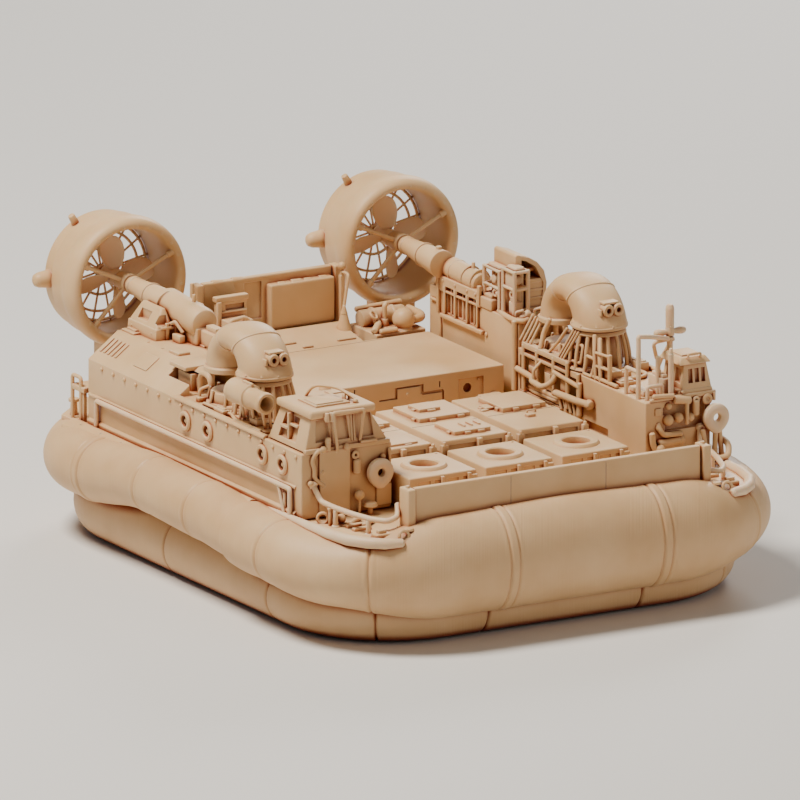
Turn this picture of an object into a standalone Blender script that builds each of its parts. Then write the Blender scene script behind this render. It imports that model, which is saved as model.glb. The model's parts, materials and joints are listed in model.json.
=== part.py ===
"""Scale model of an air-cushion landing craft: resin parts with working fans and ramps.

Axes: bow towards -Y, port side +X, up +Z. The ground is Z = 0, under the middle of the skirt.
Lengths below are in millimetres. The helpers turn them into metres.
Heights are taken from a level line LIFT above the ground.
"""
import math

import bmesh
import bpy
from mathutils import Matrix, Vector

MM = 0.001
GAP = 0.3
LIFT = 3.5

# Skirt: the outermost line of the upper bag in plan
BAG_HALF_BEAM = 99.3
BAG_HALF_LENGTH = 120.6
BAG_CORNER = 52.0
TIER_HALF_BEAM = 88.3
TIER_HALF_LENGTH = 109.85
TIER_CORNER = 44.0
TIER_AFT = 1.75

# Raft that carries everything on deck
RAFT_HALF_BEAM = 83.6
RAFT_BOW = -112.2
RAFT_BOW_WELL = -107.0
RAFT_STERN = 112.0
RAFT_BOTTOM = 30.0
DECK = 36.2

# Deckhouses along both sides, inner and outer wall from the centreline
HOUSE_IN = 55.7
HOUSE_OUT = 81.9
HOUSE_FRONT = -69.7
HOUSE_STEP = 18.0
HOUSE_BACK = 80.0
HOUSE_LOW = 59.9
HOUSE_HIGH = 68.6
EAVES_IN = 70.0

# Hood on the port roof in section (X, Z), and the inboard wall of the small house on the starboard roof
INTAKE_OUTLINE = ((60.5, 68.9), (72.5, 68.9), (73.5, 78.5), (69.5, 86.5), (61.5, 90.0), (60.5, 89.5))
AFT_HOUSE_IN = 57.8

# Lift and thrust: ducted propellers aft, steerable thruster nozzles forward
DUCT_X = 55.05
DUCT_Z = 79.4
DUCT_INNER = 18.6
HUB_RADIUS = 3.4
STRUT_Y = 98.6
STRUT_RADIUS = 0.75
STRUT_ANGLES = (27.0, 155.0, 226.0, 321.0)
GRILLE_Y = 117.6
GRILLE_RINGS = (17.7, 11.4, 6.0)
FAN_Y = 108.0
FAN_BLADES = 4
FAN_PITCH = -34.0
FAN_PHASE = -8.0
NOZZLE_X = 67.1
NOZZLE_Y = -18.3
NOZZLE_FLANGE_Z = 74.5
# the nozzle's U, from its flange: outer circle (y, z, radius), middle of its arch, how wide the arch opens
HORN_OUTER = (10.6, 71.1, 19.8)
HORN_ARCH = (12.2, 76.0)
HORN_OPEN = 3.4
HORN_HALF_WIDTH = 9.2
MOUTH_Z = 71.4

# Ramps
BOW_RAMP_Y = -105.2
BOW_RAMP_HALF = 57.1
BOW_HINGE = (-104.0, 37.7)
BOW_RAMP_TOP = 52.9
STERN_RAMP_Y = 97.0
STERN_RAMP_HALF = 26.0
STERN_RAMP_TOP = 75.4
STERN_HINGE = (98.2, 37.7)
RAMP_THICK = 2.4
RAMP_FOOT = 38.0
BARREL_RADIUS = 1.1
POST_WIDTH = 3.0

# Mast on the port roof, and the foot of the radar bar that turns on it
MAST = (78.2, -48.0)
RADAR_FOOT = 76.3
MAST_TOP = 87.7

# Cargo well
PLATFORM_HALF = 52.3
PLATFORM_FRONT = 22.0
PLATFORM_BACK = 74.6
PLATFORM_TOP = 53.2
MODULE_SIZE = 27.9
MODULE_X = (-30.5, 0.0, 30.5)

SIDES = (("starboard", -1), ("port", 1))


def clear_scene():
    for item in list(bpy.data.objects):
        bpy.data.objects.remove(item, do_unlink=True)


clear_scene()
scene = bpy.context.scene
craft = bpy.data.collections.new("hovercraft_model")
scene.collection.children.link(craft)
cutters = bpy.data.collections.new("cutters")
scene.collection.children.link(cutters)


def resin(name, colour, roughness):
    """Unpainted cast resin in one shade."""
    mat = bpy.data.materials.new(name)
    mat.use_nodes = True
    shader = mat.node_tree.nodes["Principled BSDF"]
    shader.inputs["Base Color"].default_value = (*colour, 1.0)
    shader.inputs["Roughness"].default_value = roughness
    shader.inputs["Metallic"].default_value = 0.0
    return mat


HULL = resin("hull_resin", (0.60, 0.42, 0.27), 0.55)
SKIRT = resin("skirt_resin", (0.55, 0.40, 0.26), 0.60)
TRIM = resin("trim_resin", (0.70, 0.50, 0.33), 0.50)


def mesh_of(obj):
    """Evaluated mesh of an object, with its end caps welded."""
    graph = bpy.context.evaluated_depsgraph_get()
    mesh = bpy.data.meshes.new_from_object(obj.evaluated_get(graph))
    form = bmesh.new()
    form.from_mesh(mesh)
    form.transform(obj.matrix_world)
    bmesh.ops.remove_doubles(form, verts=form.verts, dist=1e-6)
    bmesh.ops.recalc_face_normals(form, faces=form.faces)
    form.to_mesh(mesh)
    form.free()
    return mesh


def as_mesh(obj):
    """A plain mesh object in place of a curve or of an object with modifiers."""
    bpy.context.view_layer.update()
    plain = bpy.data.objects.new(obj.name + "_mesh", mesh_of(obj))
    cutters.objects.link(plain)
    bpy.data.objects.remove(obj, do_unlink=True)
    return plain


def from_bmesh(form, name):
    mesh = bpy.data.meshes.new(name)
    bmesh.ops.recalc_face_normals(form, faces=form.faces)
    form.to_mesh(mesh)
    form.free()
    obj = bpy.data.objects.new(name, mesh)
    cutters.objects.link(obj)
    return obj


def box(x0, x1, y0, y1, z0, z1, edge=0.0):
    """Block between two corners, with its edges rounded off by edge."""
    form = bmesh.new()
    bmesh.ops.create_cube(form, size=1.0)
    size = Vector((x1 - x0, y1 - y0, z1 - z0)) * MM
    middle = Vector((x1 + x0, y1 + y0, z1 + z0)) * (MM / 2)
    place = Matrix.Translation(middle) @ Matrix.Diagonal((*size, 1.0))
    bmesh.ops.transform(form, matrix=place, verts=form.verts)
    if edge:
        bmesh.ops.bevel(form, geom=form.edges[:], offset=edge * MM, segments=1, affect="EDGES")
    return from_bmesh(form, "box")


def drum(start, end, r0, r1, sides=20):
    """Cylinder or cone from one point to another."""
    start = Vector(start)
    end = Vector(end)
    form = bmesh.new()
    length = (end - start).length * MM
    bmesh.ops.create_cone(form, cap_ends=True, segments=sides, radius1=r0 * MM, radius2=r1 * MM, depth=length)
    turn = (end - start).to_track_quat("Z", "Y").to_matrix().to_4x4()
    bmesh.ops.transform(form, matrix=Matrix.Translation((start + end) * (MM / 2)) @ turn, verts=form.verts)
    return from_bmesh(form, "drum")


def ball(centre, radius, squash=1.0):
    form = bmesh.new()
    bmesh.ops.create_uvsphere(form, u_segments=12, v_segments=8, radius=radius * MM)
    place = Matrix.Translation(Vector(centre) * MM) @ Matrix.Diagonal((1.0, 1.0, squash, 1.0))
    bmesh.ops.transform(form, matrix=place, verts=form.verts)
    return from_bmesh(form, "ball")


def prism(outline, axis, low, high):
    """Flat outline, extruded between two places on an axis."""
    curve = bpy.data.curves.new("outline", "CURVE")
    curve.dimensions = "2D"
    curve.fill_mode = "BOTH"
    curve.extrude = (high - low) * MM / 2
    line = curve.splines.new("POLY")
    line.points.add(len(outline) - 1)
    for point, (a, b) in zip(line.points, outline):
        point.co = (a * MM, b * MM, 0.0, 1.0)
    line.use_cyclic_u = True
    obj = bpy.data.objects.new("prism", curve)
    cutters.objects.link(obj)
    middle = (high + low) * MM / 2
    if axis == "Z":
        obj.matrix_world = Matrix.Translation((0.0, 0.0, middle))
    elif axis == "Y":
        obj.matrix_world = Matrix(((1, 0, 0, 0), (0, 0, -1, middle), (0, 1, 0, 0), (0, 0, 0, 1)))
    else:
        obj.matrix_world = Matrix(((0, 0, 1, middle), (1, 0, 0, 0), (0, 1, 0, 0), (0, 0, 0, 1)))
    return as_mesh(obj)


def rod(points, radius, closed=False, fine=1):
    """Round bar or pipe along a run of points."""
    curve = bpy.data.curves.new("rod", "CURVE")
    curve.dimensions = "3D"
    curve.bevel_depth = radius * MM
    curve.bevel_resolution = fine
    curve.use_fill_caps = True
    line = curve.splines.new("POLY")
    line.points.add(len(points) - 1)
    for point, place in zip(line.points, points):
        point.co = (*(Vector(place) * MM), 1.0)
    line.use_cyclic_u = closed
    obj = bpy.data.objects.new("rod", curve)
    cutters.objects.link(obj)
    return as_mesh(obj)


def turned(profile, centre, axis, steps=32):
    """Profile of (radius, height) pairs, turned about an axis through centre."""
    form = bmesh.new()
    places = [form.verts.new((radius * MM, 0.0, height * MM)) for radius, height in profile]
    for first, second in zip(places, places[1:]):
        form.edges.new((first, second))
    closed = profile[0][0] > 0.0
    if closed:
        form.edges.new((places[-1], places[0]))
    mesh = bpy.data.meshes.new("profile")
    form.to_mesh(mesh)
    form.free()
    obj = bpy.data.objects.new("turned", mesh)
    cutters.objects.link(obj)
    screw = obj.modifiers.new("turn", "SCREW")
    screw.steps = steps
    screw.render_steps = steps
    screw.use_merge_vertices = True
    screw.merge_threshold = 0.00001
    place = Matrix.Translation(Vector(centre) * MM)
    if axis == "Y":
        place = place @ Matrix.Rotation(-math.pi / 2, 4, "X")
    obj.matrix_world = place
    return as_mesh(obj)


def oval_duct(x, sections, around=24):
    """Oval duct at one X, from sections of (middle, outward direction, half width, half depth)."""
    form = bmesh.new()
    rings = []
    for (y, z), (out_y, out_z), across, deep in sections:
        ring = []
        for step in range(around):
            angle = 2 * math.pi * step / around
            shift = deep * math.sin(angle)
            place = Vector((x + across * math.cos(angle), y + shift * out_y, z + shift * out_z))
            ring.append(form.verts.new(place * MM))
        rings.append(ring)
    for ring, following in zip(rings, rings[1:]):
        for step in range(around):
            after = (step + 1) % around
            form.faces.new((ring[step], ring[after], following[after], following[step]))
    form.faces.new(rings[0])
    form.faces.new(rings[-1])
    bmesh.ops.recalc_face_normals(form, faces=form.faces[:])
    return from_bmesh(form, "oval_duct")


def combine(base, others, operation):
    group = bpy.data.collections.new("operands")
    scene.collection.children.link(group)
    for other in others:
        group.objects.link(other)
    step = base.modifiers.new("combine", "BOOLEAN")
    step.operation = operation
    step.operand_type = "COLLECTION"
    step.collection = group
    step.solver = "EXACT"
    bpy.context.view_layer.update()
    mesh = mesh_of(base)
    base.modifiers.clear()
    base.data = mesh
    for other in others:
        bpy.data.objects.remove(other, do_unlink=True)
    bpy.data.collections.remove(group)
    return base


def fuse(*pieces):
    """One closed body out of pieces that reach into each other."""
    return combine(pieces[0], pieces[1:], "UNION")


def cut(base, *tools):
    return combine(base, tools, "DIFFERENCE")


def keep(obj, name, mat, origin=None):
    """Name a finished piece, give it its resin, and put its origin on its joint if it has one."""
    obj.name = name
    obj.data.name = name
    obj.data.materials.clear()
    obj.data.materials.append(mat)
    obj.data.transform(Matrix.Translation((0.0, 0.0, LIFT * MM)))
    if origin:
        shift = (Vector(origin) + Vector((0.0, 0.0, LIFT))) * MM
        obj.data.transform(Matrix.Translation(-shift))
        obj.location = shift
    obj.data.shade_smooth()
    obj.data.set_sharp_from_angle(angle=math.radians(35))
    cutters.objects.unlink(obj)
    craft.objects.link(obj)
    return obj


def side_box(side, x0, x1, y0, y1, z0, z1, edge=0.0):
    """Block given by its distances from the centreline, on one side of the craft."""
    low, high = sorted((side * x0, side * x1))
    return box(low, high, y0, y1, z0, z1, edge)


# Skirt

def plan_point(turn, half_beam, half_length, corner):
    """Point and outward direction on a rounded rectangle, for a turn of 0 to 1 from the bow to port."""
    straight_x = half_beam - corner
    straight_y = half_length - corner
    arc = math.pi * corner / 2
    quarter = straight_x + arc + straight_y
    quadrant, part = divmod(turn * 4, 1)
    if quadrant % 2:
        part = 1 - part
    run = part * quarter
    if run < straight_x:
        point, outward = Vector((run, -half_length)), Vector((0.0, -1.0))
    elif run < straight_x + arc:
        angle = (run - straight_x) / corner
        outward = Vector((math.sin(angle), -math.cos(angle)))
        point = Vector((straight_x, -straight_y)) + outward * corner
    else:
        point, outward = Vector((half_beam, run - straight_x - arc - straight_y)), Vector((1.0, 0.0))
    if quadrant in (1, 2):
        point.y = -point.y
        outward.y = -outward.y
    if quadrant in (2, 3):
        point.x = -point.x
        outward.x = -outward.x
    return point, outward


def blend_table(table, turn):
    """Values of a table of (turn, value, ...) rows, eased between its rows."""
    turn = turn if turn <= 0.5 else 1.0 - turn
    for low, high in zip(table, table[1:]):
        if turn <= high[0]:
            part = (turn - low[0]) / (high[0] - low[0])
            part = part * part * (3 - 2 * part)
            return [a + (b - a) * part for a, b in zip(low[1:], high[1:])]
    return list(table[-1][1:])


def tube_ring(stations, section_of, around):
    """Ring-shaped tube: a loft of one section for each station of the plan."""
    form = bmesh.new()
    rings = []
    for index in range(stations):
        turn = (index + 0.5) / stations
        point, outward, reach, rise, height = section_of(turn)
        ring = []
        for step in range(around):
            angle = 2 * math.pi * step / around
            flat = point + outward * (reach * (math.cos(angle) - 1))
            ring.append(form.verts.new((flat.x * MM, flat.y * MM, (height + rise * math.sin(angle)) * MM)))
        rings.append(ring)
    for ring, following in zip(rings, rings[1:] + rings[:1]):
        for step in range(around):
            after = (step + 1) % around
            form.faces.new((ring[step], ring[after], following[after], following[step]))
    return from_bmesh(form, "tube_ring")


# turn from the bow (0) to the stern (0.5), reach outwards, rise upwards, height of the middle
BAG_TABLE = (
    (0.000, 13.5, 19.0, 24.6),
    (0.060, 13.5, 18.4, 24.0),
    (0.125, 13.0, 12.9, 23.1),
    (0.180, 12.2, 12.0, 25.3),
    (0.230, 11.0, 11.2, 28.3),
    (0.280, 10.8, 10.8, 29.2),
    (0.330, 11.0, 11.9, 25.2),
    (0.400, 12.5, 12.9, 23.2),
    (0.500, 13.0, 12.0, 23.8),
)
TIER_TABLE = (
    (0.000, 9.5, 9.5, 6.0),
    (0.125, 10.0, 9.7, 6.2),
    (0.250, 9.0, 10.5, 7.0),
    (0.500, 9.0, 10.5, 7.0),
)


def bag_section(turn):
    point, outward = plan_point(turn, BAG_HALF_BEAM, BAG_HALF_LENGTH, BAG_CORNER)
    reach, rise, height = blend_table(BAG_TABLE, turn)
    return point, outward, reach, rise, height


def tier_section(turn):
    point, outward = plan_point(turn, TIER_HALF_BEAM, TIER_HALF_LENGTH, TIER_CORNER)
    point.y += TIER_AFT
    reach, rise, height = blend_table(TIER_TABLE, turn)
    return point, outward, reach, rise, height


def raft_outline(grow):
    """Deck plan with clipped corners, grown outwards."""
    beam = RAFT_HALF_BEAM + grow
    bow = RAFT_BOW - grow
    stern = RAFT_STERN + grow
    well = RAFT_BOW_WELL - grow
    half = [(57.5 - grow / 2, well), (61.0 - grow / 2, bow), (71.4 + grow / 2, bow), (beam, -98.6 - grow / 2)]
    half += [(beam, 96.0 + grow / 2), (66.0 + grow / 2, stern)]
    return half + [(-x, y) for x, y in reversed(half)]


def hull_outline(grow):
    """Plan of the buoyant hull under the raft."""
    half = [(58.0 + grow / 2, -94.0 - grow), (68.0 + grow, -84.0 - grow / 2)]
    half += [(68.0 + grow, 88.0 + grow / 2), (58.0 + grow / 2, 98.0 + grow)]
    return half + [(-x, y) for x, y in reversed(half)]


def grown_section(section, grow):
    """The same section, thicker by grow all round."""
    def thicker(turn):
        point, outward, reach, rise, height = section(turn)
        return point + outward * grow, outward, reach + grow, rise + grow, height
    return thicker


def build_skirt():
    hull = prism(hull_outline(0.0), "Z", 12.0, RAFT_BOTTOM + 2.0)
    posts = []
    for name, side in SIDES:
        inner = BOW_RAMP_HALF + 0.4
        posts.append(side_box(side, inner, inner + POST_WIDTH, -106.6, -100.0, DECK - 1.0, BOW_RAMP_TOP, 0.4))
        inner = STERN_RAMP_HALF + 0.4
        posts.append(side_box(side, inner, inner + POST_WIDTH, 95.4, 100.4, DECK - 1.0, STERN_RAMP_TOP, 0.4))
    raft = fuse(prism(raft_outline(0.0), "Z", RAFT_BOTTOM, DECK), hull, *posts)
    clearance = prism(raft_outline(GAP), "Z", RAFT_BOTTOM - GAP, DECK + 40.0)
    hull_clearance = prism(hull_outline(GAP), "Z", -5.0, RAFT_BOTTOM + 2.0)
    bag = cut(tube_ring(56, bag_section, 16), clearance, hull_clearance)
    tier_room = prism(hull_outline(GAP), "Z", -5.0, RAFT_BOTTOM + 2.0)
    tier = cut(tube_ring(48, tier_section, 12), tube_ring(56, grown_section(bag_section, GAP), 16), tier_room)
    keep(raft, "raft_deck", HULL)
    keep(bag, "skirt_bag", SKIRT)
    keep(tier, "skirt_fingers", SKIRT)


# Deckhouses and cabins

def build_deckhouse(name, side):
    low = [(HOUSE_IN, DECK + GAP), (HOUSE_OUT, DECK + GAP), (HOUSE_OUT, HOUSE_LOW), (HOUSE_IN, HOUSE_LOW)]
    high = low[:3] + [(EAVES_IN, HOUSE_HIGH), (HOUSE_IN, HOUSE_HIGH)]
    pieces = [prism([(side * x, z) for x, z in low], "Y", HOUSE_FRONT, HOUSE_STEP + 1.0)]
    pieces.append(prism([(side * x, z) for x, z in high], "Y", HOUSE_STEP, HOUSE_BACK))
    if side < 0:
        pieces.append(side_box(side, 46.0, HOUSE_IN + 1.0, HOUSE_FRONT, -58.0, DECK + GAP, HOUSE_LOW))
    keep(fuse(*pieces), name + "_deckhouse", HULL)


def frustum(low, high, z0, z1):
    """Block whose four walls lean in: low and high are (x0, x1, y0, y1)."""
    form = bmesh.new()
    bmesh.ops.create_cube(form, size=1.0)
    for vert in form.verts:
        x0, x1, y0, y1 = high if vert.co.z > 0 else low
        x = x1 if vert.co.x > 0 else x0
        y = y1 if vert.co.y > 0 else y0
        z = z1 if vert.co.z > 0 else z0
        vert.co = (x * MM, y * MM, z * MM)
    return from_bmesh(form, "frustum")


def build_starboard_cabin():
    body = frustum((-80.5, -47.0, -69.5, -44.0), (-77.0, -54.5, -68.0, -47.5), HOUSE_LOW + GAP, 72.6)
    roof = box(-78.6, -52.8, -70.4, -46.4, 72.2, 74.8, 0.8)
    hatch = box(-74.0, -60.0, -66.0, -54.0, 74.4, 75.8, 0.3)
    keep(fuse(body, roof, hatch), "starboard_cabin", HULL)


def build_port_cabin():
    body = frustum((69.0, 83.2, -69.4, -54.0), (70.6, 81.6, -68.0, -55.0), HOUSE_LOW + GAP, 71.6)
    roof = box(69.8, 82.4, -69.0, -54.4, 71.2, 73.4, 0.6)
    keep(fuse(body, roof), "port_cabin", HULL)


# Ducted propellers

# radius and Y of the duct wall's section, once around from the front lip
DUCT_PROFILE = (
    (20.6, 96.7), (22.4, 97.4), (23.4, 99.4), (23.6, 102.0), (23.0, 105.0), (22.4, 108.0), (22.4, 113.6),
    (21.6, 114.4), (21.6, 119.6), (20.8, 120.6), (19.2, 120.6), (18.6, 119.6),
    (18.6, 104.0), (19.0, 99.0), (19.6, 97.2),
)


def around_duct(side, angle, radius, y):
    turn = math.radians(angle)
    return (side * DUCT_X + radius * math.cos(turn), y, DUCT_Z + radius * math.sin(turn))


def build_duct(name, side):
    wall = turned(DUCT_PROFILE, (side * DUCT_X, 0.0, DUCT_Z), "Y", 36)
    pieces = [drum((side * DUCT_X, 96.6, DUCT_Z), (side * DUCT_X, 103.0, DUCT_Z), HUB_RADIUS, HUB_RADIUS, 16)]
    for angle in STRUT_ANGLES:
        ends = [around_duct(side, angle, 2.0, STRUT_Y), around_duct(side, angle, DUCT_INNER + 2.0, STRUT_Y)]
        pieces.append(rod(ends, STRUT_RADIUS))
    pieces.append(side_box(side, DUCT_X - 6.5, DUCT_X + 6.5, 100.0, 112.0, DECK + GAP, DUCT_Z - 19.5))
    for angle, low, high, r0, r1 in ((120.0, (21.0, 117.0), (25.2, 117.0), 1.5, 1.2),
                                     (180.0, (20.0, 117.4), (27.4, 118.2), 3.4, 2.0)):
        pieces.append(drum(around_duct(side, angle, *low), around_duct(side, angle, *high), r0, r1, 12))
    keep(fuse(wall, *pieces), name + "_duct", HULL)


def build_grille(name, side):
    y = GRILLE_Y
    pieces = []
    for radius in GRILLE_RINGS:
        steps = 24 if radius > 8.0 else 16
        ring = [around_duct(side, 360.0 * k / steps, radius, y) for k in range(steps)]
        pieces.append(rod(ring, 0.55, closed=True))
    for k in range(8):
        angle = 22.5 + 45.0 * k
        spoke = [around_duct(side, angle, 1.0, y), around_duct(side, angle, GRILLE_RINGS[0], y)]
        pieces.append(rod(spoke, 0.5))
    hub = drum((side * DUCT_X, y - 1.2, DUCT_Z), (side * DUCT_X, y + 1.2, DUCT_Z), 2.4, 2.4, 12)
    keep(fuse(hub, *pieces), name + "_grille", TRIM)


def build_propeller(name, side):
    hub = drum((side * DUCT_X, 103.3, DUCT_Z), (side * DUCT_X, 112.0, DUCT_Z), 3.1, 3.1, 16)
    nose = drum((side * DUCT_X, 111.8, DUCT_Z), (side * DUCT_X, 116.0, DUCT_Z), 3.0, 1.2, 16)
    outline = [(-1.6, 1.6), (-3.4, 5.0), (-4.1, 10.0), (-3.2, 13.6), (-1.2, 15.2)]
    outline += [(-x, z) for x, z in reversed(outline)]
    blades = []
    for k in range(FAN_BLADES):
        blade = prism(outline, "Y", -0.7, 0.7)
        pitch = Matrix.Rotation(math.radians(FAN_PITCH), 4, "Z")
        lean = Matrix.Rotation(math.radians(FAN_PHASE) + 2 * math.pi * k / FAN_BLADES, 4, "Y")
        place = Matrix.Translation(Vector((side * DUCT_X, FAN_Y, DUCT_Z)) * MM)
        blade.data.transform(place @ lean @ pitch)
        blades.append(blade)
    keep(fuse(hub, nose, *blades), name + "_propeller", TRIM, (side * DUCT_X, FAN_Y, DUCT_Z))


def build_shaft_housing(name, side):
    shaft = drum((side * DUCT_X, 96.3, DUCT_Z), (side * DUCT_X, 70.0, DUCT_Z - 1.4), 2.9, 5.0, 16)
    base = HOUSE_HIGH + GAP
    if side > 0:
        # the casing stands on the wall, with a round hump behind its edge
        outer, inner = 62.0, HOUSE_IN + 0.2
        casing = box(inner, outer, 46.0, 72.0, base, 74.0, 1.0)
        hump = drum((59.0, 71.0, 76.0), (59.0, 49.0, 75.0), 4.0, 4.0, 16)
        slope = box(inner + 0.3, outer - 1.7, 36.0, 47.0, base, 73.0, 1.0)
    else:
        outer, inner = AFT_HOUSE_IN - 0.5, 48.5
        casing = side_box(side, inner, outer, 46.0, 74.0, base, 82.0, 1.2)
        hump = side_box(side, HOUSE_IN + 0.2, outer - 0.4, 60.0, 72.0, base, 72.0)
        slope = side_box(side, inner + 1.5, outer - 1.5, 36.0, 47.0, base, 76.0, 1.0)
    keep(fuse(casing, shaft, slope, hump), name + "_shaft_housing", HULL)


# Bow thrusters

def horn_sections():
    """Ovals along the nozzle's U, from its flange over the crown to its mouth."""
    arch_y, arch_z = HORN_ARCH
    circle_y, circle_z, circle_radius = HORN_OUTER
    off_y, off_z = arch_y - circle_y, arch_z - circle_z
    sections = []
    for k in range(15):
        turn = math.pi * k / 14
        out = (-math.cos(turn), math.sin(turn))
        along = off_y * out[0] + off_z * out[1]
        outer = math.sqrt(along ** 2 + circle_radius ** 2 - off_y ** 2 - off_z ** 2) - along
        # fuller at the front, where it grows out of the flange
        outer += 1.1 * max(0.0, 1.0 - turn / 0.9)
        inner = HORN_OPEN + 0.8 * math.sin(turn)
        middle = (outer + inner) / 2
        place = (NOZZLE_Y + arch_y + middle * out[0], arch_z + middle * out[1])
        sections.append((place, out, HORN_HALF_WIDTH, (outer - inner) / 2))
    (front_y, _), out, across, deep = sections[0]
    (mouth_y, _), mouth_out, mouth_across, mouth_deep = sections[-1]
    start = ((front_y, NOZZLE_FLANGE_Z + 0.2), out, across, deep)
    return [start] + sections + [((mouth_y, MOUTH_Z + 0.2), mouth_out, mouth_across, mouth_deep)]


def build_thruster(name, side):
    x = side * NOZZLE_X
    top = NOZZLE_FLANGE_Z - GAP
    base = HOUSE_LOW + GAP
    core = drum((x, NOZZLE_Y, base), (x, NOZZLE_Y, top), 9.6, 7.2, 16)
    pieces = [drum((x, NOZZLE_Y, top - 1.4), (x, NOZZLE_Y, top), 9.6, 9.2, 20)]
    pieces.append(drum((x, NOZZLE_Y, base), (x, NOZZLE_Y, base + 1.2), 11.6, 11.4, 20))
    for k in range(14):
        turn = 2 * math.pi * k / 14
        cos, sin = math.cos(turn), math.sin(turn)
        foot = (x + 10.9 * cos, NOZZLE_Y + 10.9 * sin, base + 0.5)
        head = (x + 8.6 * cos, NOZZLE_Y + 8.6 * sin, top - 0.7)
        pieces.append(rod([foot, head], 0.7))
    keep(fuse(core, *pieces), name + "_thruster_cage", HULL)

    sections = horn_sections()
    mouth_y = sections[-1][0][0]
    pipe = oval_duct(x, sections)
    flange = drum((x, NOZZLE_Y, NOZZLE_FLANGE_Z), (x, NOZZLE_Y, NOZZLE_FLANGE_Z + 1.8), 10.1, 10.1, 24)
    lip = oval_duct(x, [((mouth_y, MOUTH_Z), (1, 0), 10.0, 8.0), ((mouth_y, MOUTH_Z + 1.8), (1, 0), 10.0, 8.0)])
    bore = oval_duct(x, [((mouth_y, MOUTH_Z - 4.0), (1, 0), 7.7, 5.7), ((mouth_y, 79.6), (1, 0), 7.2, 5.2)])
    horn = cut(fuse(pipe, flange, lip), bore)
    lamps = []
    for shift in (-1.1, 2.9):
        front = NOZZLE_Y - 8.9
        lamps.append(drum((x + shift, front, 81.8), (x + shift, front + 5.4, 81.8), 2.1, 2.1, 12))
    keep(fuse(horn, *lamps), name + "_thruster_nozzle", HULL, (x, NOZZLE_Y, NOZZLE_FLANGE_Z))


# Ramps and cargo well

def build_ramps():
    half = BOW_RAMP_HALF
    plate = box(-half, half, BOW_RAMP_Y, BOW_RAMP_Y + RAMP_THICK, RAMP_FOOT, BOW_RAMP_TOP, 0.5)
    barrel = rod([(-half, *BOW_HINGE), (half, *BOW_HINGE)], BARREL_RADIUS, fine=2)
    keep(fuse(plate, barrel), "bow_ramp", HULL, (0.0, *BOW_HINGE))
    half = STERN_RAMP_HALF
    plate = box(-half, half, STERN_RAMP_Y, STERN_RAMP_Y + RAMP_THICK, RAMP_FOOT, STERN_RAMP_TOP, 0.5)
    inner = box(-0.5, 25.4, 93.6, STERN_RAMP_Y + 0.6, 56.0, 72.4, 0.6)
    barrel = rod([(-half, *STERN_HINGE), (half, *STERN_HINGE)], BARREL_RADIUS, fine=2)
    keep(fuse(plate, inner, barrel), "stern_ramp", HULL, (0.0, *STERN_HINGE))


def build_cargo_well():
    base = DECK + GAP
    top = box(-PLATFORM_HALF, PLATFORM_HALF, PLATFORM_FRONT, PLATFORM_BACK, base, PLATFORM_TOP, 0.5)
    start, low, high = PLATFORM_BACK - 2.0, PLATFORM_TOP - 0.2, PLATFORM_TOP + 3.4
    shelf = prism([(start, base), (92.0, base), (92.0, high), (start, low)], "X", -11.0, 26.0)
    keep(fuse(top, shelf), "deck_platform", HULL)
    for index, x in enumerate(MODULE_X):
        half = MODULE_SIZE / 2
        block = box(x - half, x + half, -79.0, -51.0, base, 48.2, 0.5)
        ring = turned(((5.0, 48.0), (8.0, 48.0), (8.0, 49.2), (5.0, 49.2)), (x, -65.2, 0.0), "Z", 24)
        keep(fuse(block, ring), "front_module_%d" % (index + 1), HULL)
        block = box(x - half, x + half, -48.0, -1.0, base, 50.4, 0.5)
        lid = box(x - 7.0, x + 9.0, -43.0, -30.0, 50.0, 52.0, 0.4)
        slab = box(x - 8.0, x + 11.0, -24.0, -6.0, 50.0, 52.0, 0.4)
        keep(fuse(block, lid, slab), "rear_module_%d" % (index + 1), HULL)


# Deck fittings

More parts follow.
